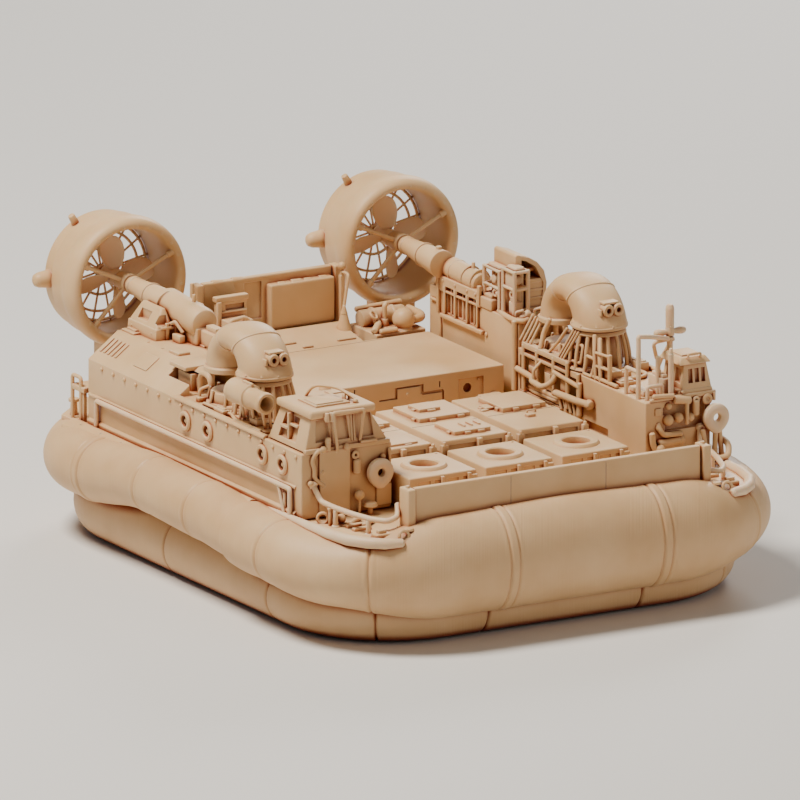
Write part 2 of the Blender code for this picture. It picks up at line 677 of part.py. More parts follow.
def build_fittings():
    x, z = -80.9, 71.8
    tube = drum((x, -43.0, z), (x, -20.6, z), 4.2, 4.2, 20)
    lip = drum((x, -43.6, z), (x, -41.2, z), 4.7, 4.7, 20)
    feet = [box(x - 1.6, x + 3.0, y, y + 2.0, HOUSE_LOW + GAP, z - 2.0) for y in (-40.0, -31.0)]
    bore = drum((x, -45.0, z), (x, -33.0, z), 3.1, 3.1, 16)
    keep(cut(fuse(tube, lip, *feet), bore), "starboard_exhaust_tube", TRIM)

    for name, x, y, z in (("starboard", -52.0, -72.2, 50.4), ("port", 82.6, -72.2, 52.0)):
        ring = [(x + 3.2 * math.cos(t), y, z + 3.2 * math.sin(t)) for t in [math.pi * k / 8 for k in range(16)]]
        keep(rod(ring, 1.7, closed=True, fine=2), name + "_fender", TRIM)

    for name, side in SIDES:
        rail = [(side * 83.0, 71.8, DECK + GAP), (side * 83.0, 71.8, 46.6), (side * 83.0, -64.0, 46.6)]
        rail.append((side * 83.0, -64.0, DECK + GAP))
        stay = rod([(side * 83.0, -56.0, 46.4), (side * 83.0, -60.0, DECK + GAP)], 0.6)
        keep(fuse(rod(rail, 0.8), stay), name + "_side_rail", TRIM)
        bow = [(side * 78.0, -76.0, DECK + GAP), (side * 78.0, -76.0, 43.0), (side * 78.0, -90.0, 41.0)]
        bow += [(side * 71.0, -104.0, 41.0), (side * 63.0, -107.0, 41.0), (side * 63.0, -107.0, DECK + GAP)]
        post = rod([(side * 75.5, -95.0, 41.0), (side * 75.5, -95.0, DECK + GAP)], 0.9)
        keep(fuse(rod(bow, 1.0), post), name + "_bow_rail", TRIM)

    hood = prism(INTAKE_OUTLINE, "Y", 28.5, 43.5)
    keep(hood, "port_intake", HULL)
    base = HOUSE_HIGH + GAP
    aft_house = frustum((-66.4, -AFT_HOUSE_IN, 59.5, 79.6), (-66.2, -AFT_HOUSE_IN, 59.7, 79.4), base, 72.4)
    aft_roof = frustum((-66.2, -60.6, 59.7, 79.4), (-62.6, -60.6, 63.0, 77.0), 72.2, 79.0)
    keep(fuse(aft_house, aft_roof), "starboard_aft_house", HULL)

    x, y = MAST
    mast = [rod([(x, y, HOUSE_LOW + GAP), (x, y, RADAR_FOOT - GAP)], 1.1)]
    for dx, dy in ((-2.2, 7.0), (1.8, 6.0), (-3.0, -2.4)):
        mast.append(rod([(x + dx, y + dy, HOUSE_LOW + GAP), (x, y, RADAR_FOOT - 4.0)], 0.7))
    keep(fuse(*mast), "port_mast", TRIM)
    bar = box(x - 6.3, x + 6.3, y - 1.1, y + 1.1, RADAR_FOOT + 0.4, RADAR_FOOT + 2.6, 0.6)
    boss = drum((x, y, RADAR_FOOT), (x, y, RADAR_FOOT + 2.9), 1.6, 1.6, 14)
    cap = drum((x, y, RADAR_FOOT + 2.7), (x, y, MAST_TOP), 1.6, 1.1, 14)
    keep(fuse(bar, boss, cap), "radar_bar", TRIM, (x, y, RADAR_FOOT))

    ladder = [box(-24.0, -12.0, 90.6, 92.8, DECK + GAP, 70.0, 0.4)]
    ladder.append(box(-23.0, -13.0, 84.0, 91.0, DECK + GAP, 64.0, 0.4))
    keep(fuse(*ladder), "stern_locker", HULL)
    bottles = [drum((33.0, 90.0, 56.0), (51.0, 90.0, 56.0), 3.6, 3.6, 14), ball((45.0, 79.6, 57.6), 4.0)]
    bottles.append(box(32.0, 52.0, 76.0, 95.0, DECK + GAP, 54.0, 0.4))
    keep(fuse(*bottles), "stern_bottles", HULL)


for side_name, side_sign in SIDES:
    build_deckhouse(side_name, side_sign)
    build_duct(side_name, side_sign)
    build_grille(side_name, side_sign)
    build_propeller(side_name, side_sign)
    build_shaft_housing(side_name, side_sign)
    build_thruster(side_name, side_sign)
build_starboard_cabin()
build_port_cabin()
build_skirt()
build_ramps()
build_cargo_well()
build_fittings()
for leftover in list(cutters.objects):
    bpy.data.objects.remove(leftover, do_unlink=True)
bpy.context.view_layer.update()
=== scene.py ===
import json
import math

import bmesh
import bpy
from mathutils import Matrix, Vector


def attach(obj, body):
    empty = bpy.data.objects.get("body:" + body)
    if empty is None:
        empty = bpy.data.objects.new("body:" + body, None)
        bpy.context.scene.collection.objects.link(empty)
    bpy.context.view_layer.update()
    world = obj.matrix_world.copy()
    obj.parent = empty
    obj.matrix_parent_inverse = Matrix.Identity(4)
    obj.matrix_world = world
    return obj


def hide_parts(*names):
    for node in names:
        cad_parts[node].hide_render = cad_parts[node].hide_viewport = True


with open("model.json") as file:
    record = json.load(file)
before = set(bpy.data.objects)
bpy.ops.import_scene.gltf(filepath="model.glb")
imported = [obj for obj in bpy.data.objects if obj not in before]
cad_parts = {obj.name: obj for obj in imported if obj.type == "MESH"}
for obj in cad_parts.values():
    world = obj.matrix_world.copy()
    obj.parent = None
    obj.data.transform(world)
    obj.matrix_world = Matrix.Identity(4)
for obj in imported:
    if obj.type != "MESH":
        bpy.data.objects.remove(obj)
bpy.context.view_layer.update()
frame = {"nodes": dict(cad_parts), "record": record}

# Everything below is written in millimetres and turned to metres when a piece is finished.
# Bow towards -Y, port side +X. Heights are taken from a level line that lies lift above the ground.
mm = 0.001
lift = 3.5
nodes = frame["nodes"]
sides = (("starboard", -1), ("port", 1))


# Colours and materials

def toLinear(hexColour):
    parts = [int(hexColour[k:k + 2], 16) / 255 for k in (1, 3, 5)]
    return [c / 12.92 if c <= 0.04045 else ((c + 0.055) / 1.055) ** 2.4 for c in parts] + [1]


def addNode(tree, kind, settings=None, sockets=None):
    node = tree.nodes.new(kind)
    for key, value in (settings or {}).items():
        setattr(node, key, value)
    for key, value in (sockets or {}).items():
        if isinstance(value, bpy.types.NodeSocket):
            tree.links.new(value, node.inputs[key])
        else:
            node.inputs[key].default_value = value
    return node


def setRamp(node, stops):
    ramp = node.color_ramp
    while len(ramp.elements) < len(stops):
        ramp.elements.new(0.5)
    for element, (place, colour) in zip(ramp.elements, stops):
        element.position = place
        element.color = colour if isinstance(colour, list) else (colour, colour, colour, 1)


def printedResin(name, recipe):
    material = bpy.data.materials.new(name)
    material.use_nodes = True
    tree = material.node_tree
    tree.nodes.clear()
    out = addNode(tree, "ShaderNodeOutputMaterial")
    place = addNode(tree, "ShaderNodeTexCoord").outputs["Object"]
    perMetre = 1000

    # slow drift in shade, as cured resin has
    drift = addNode(tree, "ShaderNodeTexNoise", sockets={
        "Vector": place, "Scale": perMetre / recipe["driftMm"], "Detail": 3, "Roughness": 0.55})
    tone = addNode(tree, "ShaderNodeValToRGB", sockets={"Fac": drift.outputs["Fac"]})
    setRamp(tone, [(0.3, toLinear(recipe["deepHex"])), (0.7, toLinear(recipe["bodyHex"]))])

    # painted shade: an occlusion mask paints recesses darker and redder, standing in for the shade that falls
    # in them
    paintedShadeOcclusion = addNode(tree, "ShaderNodeAmbientOcclusion", {"samples": 8},
                      {"Distance": recipe["paintedShadeReachMm"] * mm})
    paintedShadeRamp = addNode(tree, "ShaderNodeValToRGB", sockets={"Fac": paintedShadeOcclusion.outputs["AO"]})
    setRamp(paintedShadeRamp, [(0, toLinear(recipe["paintedShadePitHex"])), (0.36, toLinear(recipe["paintedShadeHollowHex"])),
                     (0.78, [1, 1, 1, 1])])
    shaded = addNode(tree, "ShaderNodeMix", {"data_type": "RGBA", "blend_type": "MULTIPLY"}, {
        0: 1, 6: tone.outputs["Color"], 7: paintedShadeRamp.outputs["Color"]})

    # painted highlight: open edges, where the rounded normal leaves the true one, are painted pale to stand in
    # for light caught on them and shining through the thin resin
    facing = addNode(tree, "ShaderNodeNewGeometry")
    rounded = addNode(tree, "ShaderNodeBevel", {"samples": 4}, {"Radius": recipe["edgeMm"] * mm})
    agree = addNode(tree, "ShaderNodeVectorMath", {"operation": "DOT_PRODUCT"}, {
        0: facing.outputs["Normal"], 1: rounded.outputs["Normal"]})
    edge = addNode(tree, "ShaderNodeMapRange", sockets={
        "Value": agree.outputs["Value"], "From Min": 0.99, "From Max": 0.78, "To Min": 0,
        "To Max": recipe["paintedHighlightShare"]})
    paintedEdgeHighlight = addNode(tree, "ShaderNodeMath", {"operation": "MULTIPLY"}, {
        0: edge.outputs["Result"], 1: paintedShadeOcclusion.outputs["AO"]})
    colour = addNode(tree, "ShaderNodeMix", {"data_type": "RGBA"}, {
        0: paintedEdgeHighlight.outputs["Value"], 6: shaded.outputs[2], 7: toLinear(recipe["paintedHighlightHex"])})

    # print layers across the craft, drawn coarser than the real 0.05 mm so that they show
    split = addNode(tree, "ShaderNodeSeparateXYZ", sockets={"Vector": place})
    along = addNode(tree, "ShaderNodeMath", {"operation": "MULTIPLY_ADD"}, {
        0: split.outputs["X"], 1: -1.732, 2: split.outputs["Y"]})
    layers = addNode(tree, "ShaderNodeTexNoise", {"noise_dimensions": "1D"}, {
        "W": along.outputs["Value"], "Scale": 0.5 * perMetre / recipe["layerMm"], "Detail": 2})
    grain = addNode(tree, "ShaderNodeTexNoise", sockets={
        "Vector": place, "Scale": perMetre / recipe["grainMm"], "Detail": 2})
    relief = addNode(tree, "ShaderNodeMix", sockets={
        0: recipe["layerShare"], 2: grain.outputs["Fac"], 3: layers.outputs["Fac"]})
    bump = addNode(tree, "ShaderNodeBump", sockets={
        "Height": relief.outputs[0], "Strength": recipe["relief"], "Distance": 0.2 * mm,
        "Normal": rounded.outputs["Normal"]})
    gloss = addNode(tree, "ShaderNodeMapRange", sockets={
        "Value": drift.outputs["Fac"], "From Min": 0.3, "From Max": 0.7,
        "To Min": recipe["rough"] - 0.05, "To Max": recipe["rough"] + 0.06})
    shader = addNode(tree, "ShaderNodeBsdfPrincipled", sockets={
        "Base Color": colour.outputs[2], "Roughness": gloss.outputs["Result"], "Normal": bump.outputs["Normal"],
        "IOR": 1.5, "Specular IOR Level": recipe["specular"], "Subsurface Weight": recipe["depth"],
        "Subsurface Radius": (1, 0.42, 0.18), "Subsurface Scale": recipe["depthMm"] * mm})
    tree.links.new(shader.outputs["BSDF"], out.inputs["Surface"])
    return material


# Cured photopolymer from a resin printer: a matt cream peach that lets a little light in.
resinRecipe = {
    # the two recess colours here are painted shade for crevices, and the reach below sets how far that painted
    # shade spreads
    "bodyHex": "#DDB98B", "deepHex": "#D0A876", "paintedShadeHollowHex": "#B85A22", "paintedShadePitHex": "#3A0F03",
    # the edge colour is a painted highlight
    "paintedHighlightHex": "#F7E8CC",
    "driftMm": 26, "grainMm": 0.5, "layerMm": 0.5, "layerShare": 0.3, "relief": 0.2, "rough": 0.5,
    "specular": 0.42, "paintedShadeReachMm": 3.4, "edgeMm": 0.35, "paintedHighlightShare": 0.75, "depth": 0.15, "depthMm": 1,
}
# The skirt was printed hollow with thicker walls, so its layers show and it glows less.
skirtRecipe = dict(resinRecipe, bodyHex="#D9B588", deepHex="#CBA374", layerShare=0.85, relief=0.45,
                   layerMm=0.7, paintedShadeReachMm=5, depth=0.08, edgeMm=0.1)
# Pipes and rails are thin, so they get a paler base colour: painted light standing in for the light that shines
# through thin resin, along with more subsurface depth.
thinRecipe = dict(resinRecipe, bodyHex="#E6CBA8", deepHex="#DCB991", depth=0.25, paintedShadeReachMm=2)
castResin = printedResin("photopolymer_resin_matt", resinRecipe)
layeredResin = printedResin("photopolymer_resin_layered", skirtRecipe)
thinResin = printedResin("photopolymer_resin_thin", thinRecipe)
finishOf = {"hull_resin": castResin, "skirt_resin": layeredResin, "trim_resin": thinResin}
for part in frame["record"]["subparts"]:
    node = nodes[part["node"]]
    node.data.materials.clear()
    node.data.materials.append(finishOf[part["material_slot"]])
print("materials made")


# Making shapes

def aim(place, direction=(0, 0, 1)):
    turn = Vector(direction).to_track_quat("Z", "Y").to_matrix().to_4x4()
    return Matrix.Translation(Vector(place)) @ turn


def aimAft(x, z, bow=False):
    # a turned shape's axis along the craft, pointing aft, or to the bow
    return Matrix.Translation((x, 0, z)) @ Matrix.Rotation(math.pi / 2 if bow else -math.pi / 2, 4, "X")


def addBox(form, low, high, edge=0.3, steps=2, at=None):
    made = bmesh.ops.create_cube(form, size=1)["verts"]
    for vert in made:
        vert.co = Vector([low[k] if vert.co[k] < 0 else high[k] for k in range(3)])
    room = min(abs(high[k] - low[k]) for k in range(3)) * 0.45
    if edge > 0:
        rim = list({e for vert in made for e in vert.link_edges})
        beveled = bmesh.ops.bevel(form, geom=rim, offset=min(edge, room), segments=steps, profile=0.6,
                                  affect="EDGES", clamp_overlap=True)
        made = list({v for f in beveled["faces"] for v in f.verts} | {v for v in made if v.is_valid})
    if at is not None:
        bmesh.ops.transform(form, matrix=at, verts=made)
    return made


def sideBox(form, side, x0, x1, y0, y1, z0, z1, edge=0.3, steps=2):
    low, high = sorted((side * x0, side * x1))
    return addBox(form, (low, y0, z0), (high, y1, z1), edge, steps)


def addTurned(form, profile, at, steps=32, closed=False):
    rings = []
    for radius, height in profile:
        if radius < 1e-6:
            rings.append([form.verts.new(at @ Vector((0, 0, height)))])
            continue
        ring = []
        for k in range(steps):
            turn = 2 * math.pi * k / steps
            ring.append(form.verts.new(at @ Vector((radius * math.cos(turn), radius * math.sin(turn), height))))
        rings.append(ring)
    pairs = list(zip(rings, rings[1:]))
    if closed:
        pairs.append((rings[-1], rings[0]))
    for low, high in pairs:
        if len(low) == 1 and len(high) == 1:
            continue
        for k in range(steps):
            after = (k + 1) % steps
            if len(low) == 1:
                form.faces.new((low[0], high[k], high[after]))
            elif len(high) == 1:
                form.faces.new((low[k], low[after], high[0]))
            else:
                form.faces.new((low[k], low[after], high[after], high[k]))
    if not closed:
        for ring, flip in ((rings[0], True), (rings[-1], False)):
            if len(ring) > 1:
                form.faces.new(ring[::-1] if flip else ring)


def softDrum(form, start, end, radius, radius2=None, edge=0.25, steps=24):
    start, end = Vector(start), Vector(end)
    length = (end - start).length
    radius2 = radius if radius2 is None else radius2
    edge = min(edge, radius * 0.4, radius2 * 0.4, length * 0.4)
    profile = [(0, 0), (radius - edge, 0), (radius - edge * 0.3, edge * 0.3), (radius, edge),
               (radius2, length - edge), (radius2 - edge * 0.3, length - edge * 0.3), (radius2 - edge, length),
               (0, length)]
    addTurned(form, profile, aim(start, end - start), steps)


def addPost(form, x, y, z0, z1, *sizes):
    softDrum(form, (x, y, z0), (x, y, z1), *sizes)


def addBall(form, centre, radius, squash=1, steps=16):
    half = steps // 2
    profile = [(radius * math.sin(math.pi * k / half),
                -radius * squash * math.cos(math.pi * k / half)) for k in range(half + 1)]
    profile[0], profile[-1] = (0, profile[0][1]), (0, profile[-1][1])
    addTurned(form, profile, aim(centre), steps)


def addBolt(form, place, direction, radius=0.7, height=0.45, steps=10):
    profile = [(radius, -0.3), (radius, height * 0.45), (radius * 0.72, height * 0.85), (0, height)]
    addTurned(form, profile, aim(place, direction), steps)


def addRing(form, place, direction, major, minor, steps=36, around=12):
    profile = []
    for k in range(around):
        turn = 2 * math.pi * k / around
        profile.append((major + minor * math.cos(turn), minor * math.sin(turn)))
    addTurned(form, profile, aim(place, direction), steps, closed=True)


def softCorners(points, bend, closed=False, steps=5):
    points = [Vector(p) for p in points]
    count = len(points)
    run = []
    for k, point in enumerate(points):
        if not closed and k in (0, count - 1):
            run.append(point)
            continue
        before, after = points[k - 1] - point, points[(k + 1) % count] - point
        reach = min(bend, before.length * 0.48, after.length * 0.48)
        first, last = point + before.normalized() * reach, point + after.normalized() * reach
        for s in range(steps + 1):
            part = s / steps
            run.append(first.lerp(point, part).lerp(point.lerp(last, part), part))
    return run


def addTube(form, points, radius, bend=0, closed=False, around=10, radii=None):
    run = softCorners(points, bend, closed) if bend else [Vector(p) for p in points]
    count = len(run)
    rings = []
    normal = None
    for k, point in enumerate(run):
        before = run[k - 1] if k or closed else None
        after = run[(k + 1) % count] if k < count - 1 or closed else None
        heading = Vector()
        if before is not None:
            heading += (point - before).normalized()
        if after is not None:
            heading += (after - point).normalized()
        heading.normalize()
        if normal is None:
            normal = heading.orthogonal().normalized()
        normal = (normal - heading * normal.dot(heading)).normalized()
        across = heading.cross(normal)
        wide = radii[k] if radii else radius
        rings.append([form.verts.new(point + (normal * math.cos(a) + across * math.sin(a)) * wide)
                      for a in [2 * math.pi * s / around for s in range(around)]])
    pairs = list(zip(rings, rings[1:]))
    shift = 0
    if closed:
        gaps = [(rings[-1][0].co - rings[0][s].co).length for s in range(around)]
        shift = gaps.index(min(gaps))
    for low, high in pairs:
        for s in range(around):
            after = (s + 1) % around
            form.faces.new((low[s], low[after], high[after], high[s]))
    if closed:
        for s in range(around):
            after = (s + 1) % around
            form.faces.new((rings[-1][s], rings[-1][after], rings[0][(after + shift) % around],
                            rings[0][(s + shift) % around]))
    else:
        for ring, inner in ((rings[0], run[0]), (rings[-1], run[-1])):
            small = [form.verts.new(inner + (v.co - inner) * 0.6) for v in ring]
            nose = (ring[0].co - ring[1].co).cross(ring[0].co - ring[2].co).normalized() * radius * 0.35
            outwards = run[0] - run[1] if ring is rings[0] else run[-1] - run[-2]
            if nose.dot(outwards) < 0:
                nose = -nose
            for v in small:
                v.co += nose
            for s in range(around):
                after = (s + 1) % around
                form.faces.new((ring[s], ring[after], small[after], small[s]))
            form.faces.new(small)


def sideTube(form, side, points, radius, bend=0, around=10):
    addTube(form, [(side * x, y, z) for x, y, z in points], radius, bend, around=around)


def addPrism(form, outline, axis, low, high, edge=0, steps=2):
    def spot(a, b, c):
        return {"Z": (a, b, c), "Y": (a, c, b), "X": (c, a, b)}[axis]
    bottom = [form.verts.new(spot(a, b, low)) for a, b in outline]
    top = [form.verts.new(spot(a, b, high)) for a, b in outline]
    count = len(outline)
    faces = [form.faces.new(bottom), form.faces.new(top)]
    for k in range(count):
        after = (k + 1) % count
        faces.append(form.faces.new((bottom[k], bottom[after], top[after], top[k])))
    bmesh.ops.recalc_face_normals(form, faces=faces)
    if edge > 0:
        rim = list({e for f in faces for e in f.edges})
        bmesh.ops.bevel(form, geom=rim, offset=edge, segments=steps, profile=0.6, affect="EDGES",
                        clamp_overlap=True)


def addWedge(form, low, high, z0, z1, edge=0.3, steps=2):
    # a block whose walls lean: low and high are (x0, x1, y0, y1) of its foot and head
    made = bmesh.ops.create_cube(form, size=1)["verts"]
    for vert in made:
        x0, x1, y0, y1 = high if vert.co.z > 0 else low
        vert.co = Vector((x1 if vert.co.x > 0 else x0, y1 if vert.co.y > 0 else y0,
                          z1 if vert.co.z > 0 else z0))
    if edge > 0:
        rim = list({e for vert in made for e in vert.link_edges})
        bmesh.ops.bevel(form, geom=rim, offset=edge, segments=steps, profile=0.6, affect="EDGES",
                        clamp_overlap=True)


def toObject(form, name):
    bmesh.ops.recalc_face_normals(form, faces=form.faces[:])
    form.transform(Matrix.Scale(mm, 4) @ Matrix.Translation((0, 0, lift)))
    mesh = bpy.data.meshes.new(name)
    form.to_mesh(mesh)
    form.free()
    made = bpy.data.objects.new(name, mesh)
    bpy.context.scene.collection.objects.link(made)
    return made


def carve(base, form, operation="DIFFERENCE"):
    # cuts one form out of a finished object, or joins it on
    tool = toObject(form, "tool")
    step = base.modifiers.new("carve", "BOOLEAN")
    step.operation = operation
    step.solver = "EXACT"
    step.use_self = True
    step.object = tool
    bpy.context.view_layer.update()
    graph = bpy.context.evaluated_depsgraph_get()
    mesh = bpy.data.meshes.new_from_object(base.evaluated_get(graph))
    base.modifiers.clear()
    base.data = mesh
    bpy.data.objects.remove(tool, do_unlink=True)


def finishPiece(made, hides=(), smooth=38, material=castResin, body="craft"):
    made.data.name = made.name
    made.data.materials.clear()
    made.data.materials.append(material)
    made.data.shade_smooth()
    made.data.set_sharp_from_angle(angle=math.radians(smooth))
    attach(made, body)
    if hides:
        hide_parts(*hides)
    return made


def finishForm(form, name, hides=(), smooth=38, material=castResin, body="craft"):
    return finishPiece(toObject(form, name), hides, smooth, material, body)


# Skirt: the bag's plan is a rounded rectangle, run through from the bow (0) over port to the stern
# (0.5) and back

bag = {
    "halfBeam": 99.3, "halfLength": 120.6, "corner": 52, "inset": 0.6, "perimeter": 755,
    # turn, reach outwards, rise, height of the middle
    "table": (
        (0, 13.5, 19, 24.6), (0.060, 13.5, 18.4, 24), (0.125, 13, 12.9, 23.1), (0.180, 12.2, 12, 25.3),
        (0.230, 11, 11.2, 28.3), (0.280, 10.8, 10.8, 29.2), (0.330, 11, 11.9, 25.2), (0.400, 12.5, 12.9, 23.2),
        (0.500, 13, 12, 23.8)),
    "stations": 330, "around": 56,
    "bands": (0.9680, 0.0455, 0.6738, 0.3262),
    "seams": (0.8335, 0.1665, 0.8975, 0.1025, 0.7255, 0.2745, 0.7700, 0.2300),
    "step": 0.8035, "stepHeight": 0.6, "stepHollow": 0.4, "stepRun": (-14, 26),
    "bandHeight": 0.42, "bandHalf": (1.5, 1),
    # groove or bulge beside a seam: height, how far away, width
    "bandSides": ((-0.34, 1.75, 0.34), (0.12, 2.7, 0.7)), "seamSides": ((-0.48, 0, 0.45), (0.16, 1.3, 0.7)),
    "bandReach": 5, "seamReach": 4, "fineReach": 4.2, "fineStep": 0.28,
}
tier = {
    "halfBeam": 88.3, "halfLength": 109.85, "corner": 44, "aft": 1.75, "perimeter": 717,
    "stations": 300, "around": 36,
    "table": ((0, 9.5, 9.5, 6), (0.125, 10, 9.7, 6.2), (0.250, 9, 10.5, 7), (0.500, 9, 10.5, 7)),
    "notchReach": 3, "notch": ((-1, 0, 0.5),), "fineReach": 2.4, "fineStep": 0.3,
    "notches": (0.9593, 0.0450, 0.9000, 0.1000, 0.8300, 0.1700, 0.7300, 0.2700, 0.6300, 0.3700, 0.5500, 0.4500),
}


def planPoint(turn, halfBeam, halfLength, corner):
    straightX, straightY = halfBeam - corner, halfLength - corner
    arc = math.pi * corner / 2
    quadrant, part = divmod((turn % 1) * 4, 1)
    if quadrant % 2:
        part = 1 - part
    run = part * (straightX + arc + straightY)
    if run < straightX:
        point, outward = Vector((run, -halfLength, 0)), Vector((0, -1, 0))
    elif run < straightX + arc:
        angle = (run - straightX) / corner
        outward = Vector((math.sin(angle), -math.cos(angle), 0))
        point = Vector((straightX, -straightY, 0)) + outward * corner
    else:
        point, outward = Vector((halfBeam, run - straightX - arc - straightY, 0)), Vector((1, 0, 0))
    if quadrant in (1, 2):
        point.y, outward.y = -point.y, -outward.y
    if quadrant in (2, 3):
        point.x, outward.x = -point.x, -outward.x
    return point, outward


def fromTable(table, turn):
    turn = turn if turn <= 0.5 else 1 - turn
    for low, high in zip(table, table[1:]):
        if turn <= high[0]:
            part = (turn - low[0]) / (high[0] - low[0])
            part = part * part * (3 - 2 * part)
            return [a + (b - a) * part for a, b in zip(low[1:], high[1:])]
    return list(table[-1][1:])


def between(value, low, high):
    part = max(0, min(1, (value - low) / (high - low)))
    return part * part * (3 - 2 * part)


def loop(turn):
    return (turn + 0.5) % 1 - 0.5


def swell(away, bumps):
    return sum(height * math.exp(-((away - middle) / width) ** 2) for height, middle, width in bumps)


def stationsOf(part, marks):
    # even stations, with closer ones where seams and bands need them
    count, perimeter, reach, fine = part["stations"], part["perimeter"], part["fineReach"], part["fineStep"]
    turns = {round((k + 0.5) / count, 6) for k in range(count)}
    for mark in marks:
        turns = {t for t in turns if abs(loop(t - mark)) * perimeter > reach}
        steps = int(reach / fine)
        turns |= {round((mark + step * fine / perimeter) % 1, 6) for step in range(-steps, steps + 1)}
    return sorted(turns)


def skirtTube(form, turns, around, sectionOf, reliefOf):
    rings = []
    for turn in turns:
        point, outward, reach, rise, height = sectionOf(turn)
        ring = []
        for step in range(around):
            angle = 2 * math.pi * step / around
            proud = reliefOf(turn)
            flat = point + outward * (reach * (math.cos(angle) - 1) + proud * math.cos(angle))
            ring.append(form.verts.new((flat.x, flat.y, height + (rise + proud) * math.sin(angle))))
        rings.append(ring)
    for ring, following in zip(rings, rings[1:] + rings[:1]):
        for step in range(around):
            after = (step + 1) % around
            form.faces.new((ring[step], ring[after], following[after], following[step]))


def bagSection(turn):
    inset = bag["inset"]
    point, outward = planPoint(turn, bag["halfBeam"], bag["halfLength"], bag["corner"])
    reach, rise, height = fromTable(bag["table"], turn)
    return point - outward * inset, outward, reach - inset, rise - inset, height


def bagRelief(turn):
    proud = 0
    for middle in bag["bands"]:
        away = abs(loop(turn - middle)) * bag["perimeter"]
        if away < bag["bandReach"]:
            proud += bag["bandHeight"] * between(away, *bag["bandHalf"]) + swell(away, bag["bandSides"])
    for middle in bag["seams"]:
        away = abs(loop(turn - middle)) * bag["perimeter"]
        if away < bag["seamReach"]:
            proud += swell(away, bag["seamSides"])
    for sign in (1, -1):
        middle = bag["step"] if sign > 0 else 1 - bag["step"]
        away = loop(turn - middle) * bag["perimeter"] * sign
        first, last = bag["stepRun"]
        if first < away < last:
            edge = between(away, -0.5, 0.5)
            proud += bag["stepHeight"] * edge * (1 - between(away, 4, last))
            proud -= bag["stepHollow"] * between(away, first, -0.6) * (1 - edge)
    return min(proud, bag["inset"])


def tierSection(turn):
    point, outward = planPoint(turn, tier["halfBeam"], tier["halfLength"], tier["corner"])
    reach, rise, height = fromTable(tier["table"], turn)
    return point + Vector((0, tier["aft"], 0)), outward, reach, rise, height


def tierRelief(turn):
    proud = 0
    for middle in tier["notches"]:
        away = abs(loop(turn - middle)) * tier["perimeter"]
        if away < tier["notchReach"]:
            proud += swell(away, tier["notch"])
    return proud


form = bmesh.new()
marks = bag["bands"] + bag["seams"] + (bag["step"], 1 - bag["step"])
skirtTube(form, stationsOf(bag, marks), bag["around"], bagSection, bagRelief)
finishForm(form, "skirtUpperBag", ("skirt_bag",), 50, material=layeredResin)
form = bmesh.new()
skirtTube(form, stationsOf(tier, tier["notches"]), tier["around"], tierSection, tierRelief)
finishForm(form, "skirtLowerTier", ("skirt_fingers",), 50, material=layeredResin)
print("skirt made")


# Ducts: turned walls, struts, lugs, and a web grille at the back

duct = {
    "x": 55.05, "z": 79.4,
    "wall": (
        (20.1, 96.9), (20.9, 96.7), (21.9, 97), (22.7, 97.8), (23.2, 98.9), (23.5, 100.4), (23.6, 102),
        (23.4, 103.6),
        (23, 105), (22.6, 106.4), (22.4, 108), (22.4, 113.4), (22.2, 114), (21.6, 114.5), (21.6, 119.4),
        (21.3, 120.2), (20.6, 120.6), (19.2, 120.6), (18.8, 120.2), (18.6, 119.4), (18.6, 104), (18.7, 101.5),
        (19, 99), (19.4, 97.6)),
    "struts": (27, 155, 226, 321), "strutY": 98.6,
    "blades": 4, "bladeSpan": 15.2, "pitch": 34, "phase": -8, "fanY": 108,
    "grilleY": 117.6, "rings": (17.7, 14.5, 8.5),
}


def onDuct(side, angle, radius, y):
    turn = math.radians(angle)
    return Vector((side * duct["x"] + radius * math.cos(turn), y, duct["z"] + radius * math.sin(turn)))


def makeDuct(name, side):
    x, z = side * duct["x"], duct["z"]
    form = bmesh.new()
    addTurned(form, duct["wall"], aimAft(x, z), 128, closed=True)
    softDrum(form, (x, 96.6, z), (x, 103, z), 3.4, edge=0.5)
    softDrum(form, (x, 95.9, z), (x, 97, z), 2.2, edge=0.3)
    for angle in duct["struts"]:
        addTube(form, [onDuct(side, angle, 2, duct["strutY"]), onDuct(side, angle, 19.4, duct["strutY"])], 0.8)
        addTube(form, [onDuct(side, angle, 17.6, duct["strutY"]), onDuct(side, angle, 19.8, duct["strutY"])],
                1.3)
    sideBox(form, side, duct["x"] - 6.5, duct["x"] + 6.5, 100, 112, 36.5, duct["z"] - 19.5, 0.5)
    sideBox(form, side, duct["x"] - 8.6, duct["x"] + 8.6, 99, 113, 58.4, duct["z"] - 19.3, 0.5)
    softDrum(form, onDuct(side, 120, 21, 117), onDuct(side, 120, 25.2, 117), 1.5, 1.2)
    lug = [(0, 19), (3.3, 19), (3.3, 21.5), (3, 23.6), (2.7, 25.6), (2.1, 27), (1.1, 27.6), (0, 27.7)]
    addTurned(form, lug, aim((x, 117.2, z), (-1, 0, 0)), 24)
    for k in range(24):
        addBolt(form, onDuct(side, 15 * k + 7.5, 20.6, 96.95), (0, -1, 0), 0.42, 0.3)
    finishForm(form, name + "DuctWall", (name + "_duct",))

    form = bmesh.new()
    for radius in duct["rings"]:
        addTube(form, [onDuct(side, 6 * k, radius, duct["grilleY"]) for k in range(60)], 0.55, closed=True,
                around=8)
    for k in range(16):
        angle = 11.25 + 22.5 * k
        addTube(form, [onDuct(side, angle, 1, duct["grilleY"]), onDuct(side, angle, 18.6, duct["grilleY"])],
                0.42, around=8)
    softDrum(form, (x, 116.4, z), (x, 118.8, z), 2.4, edge=0.4)
    finishForm(form, name + "DuctGrille", (name + "_grille",), material=thinResin)


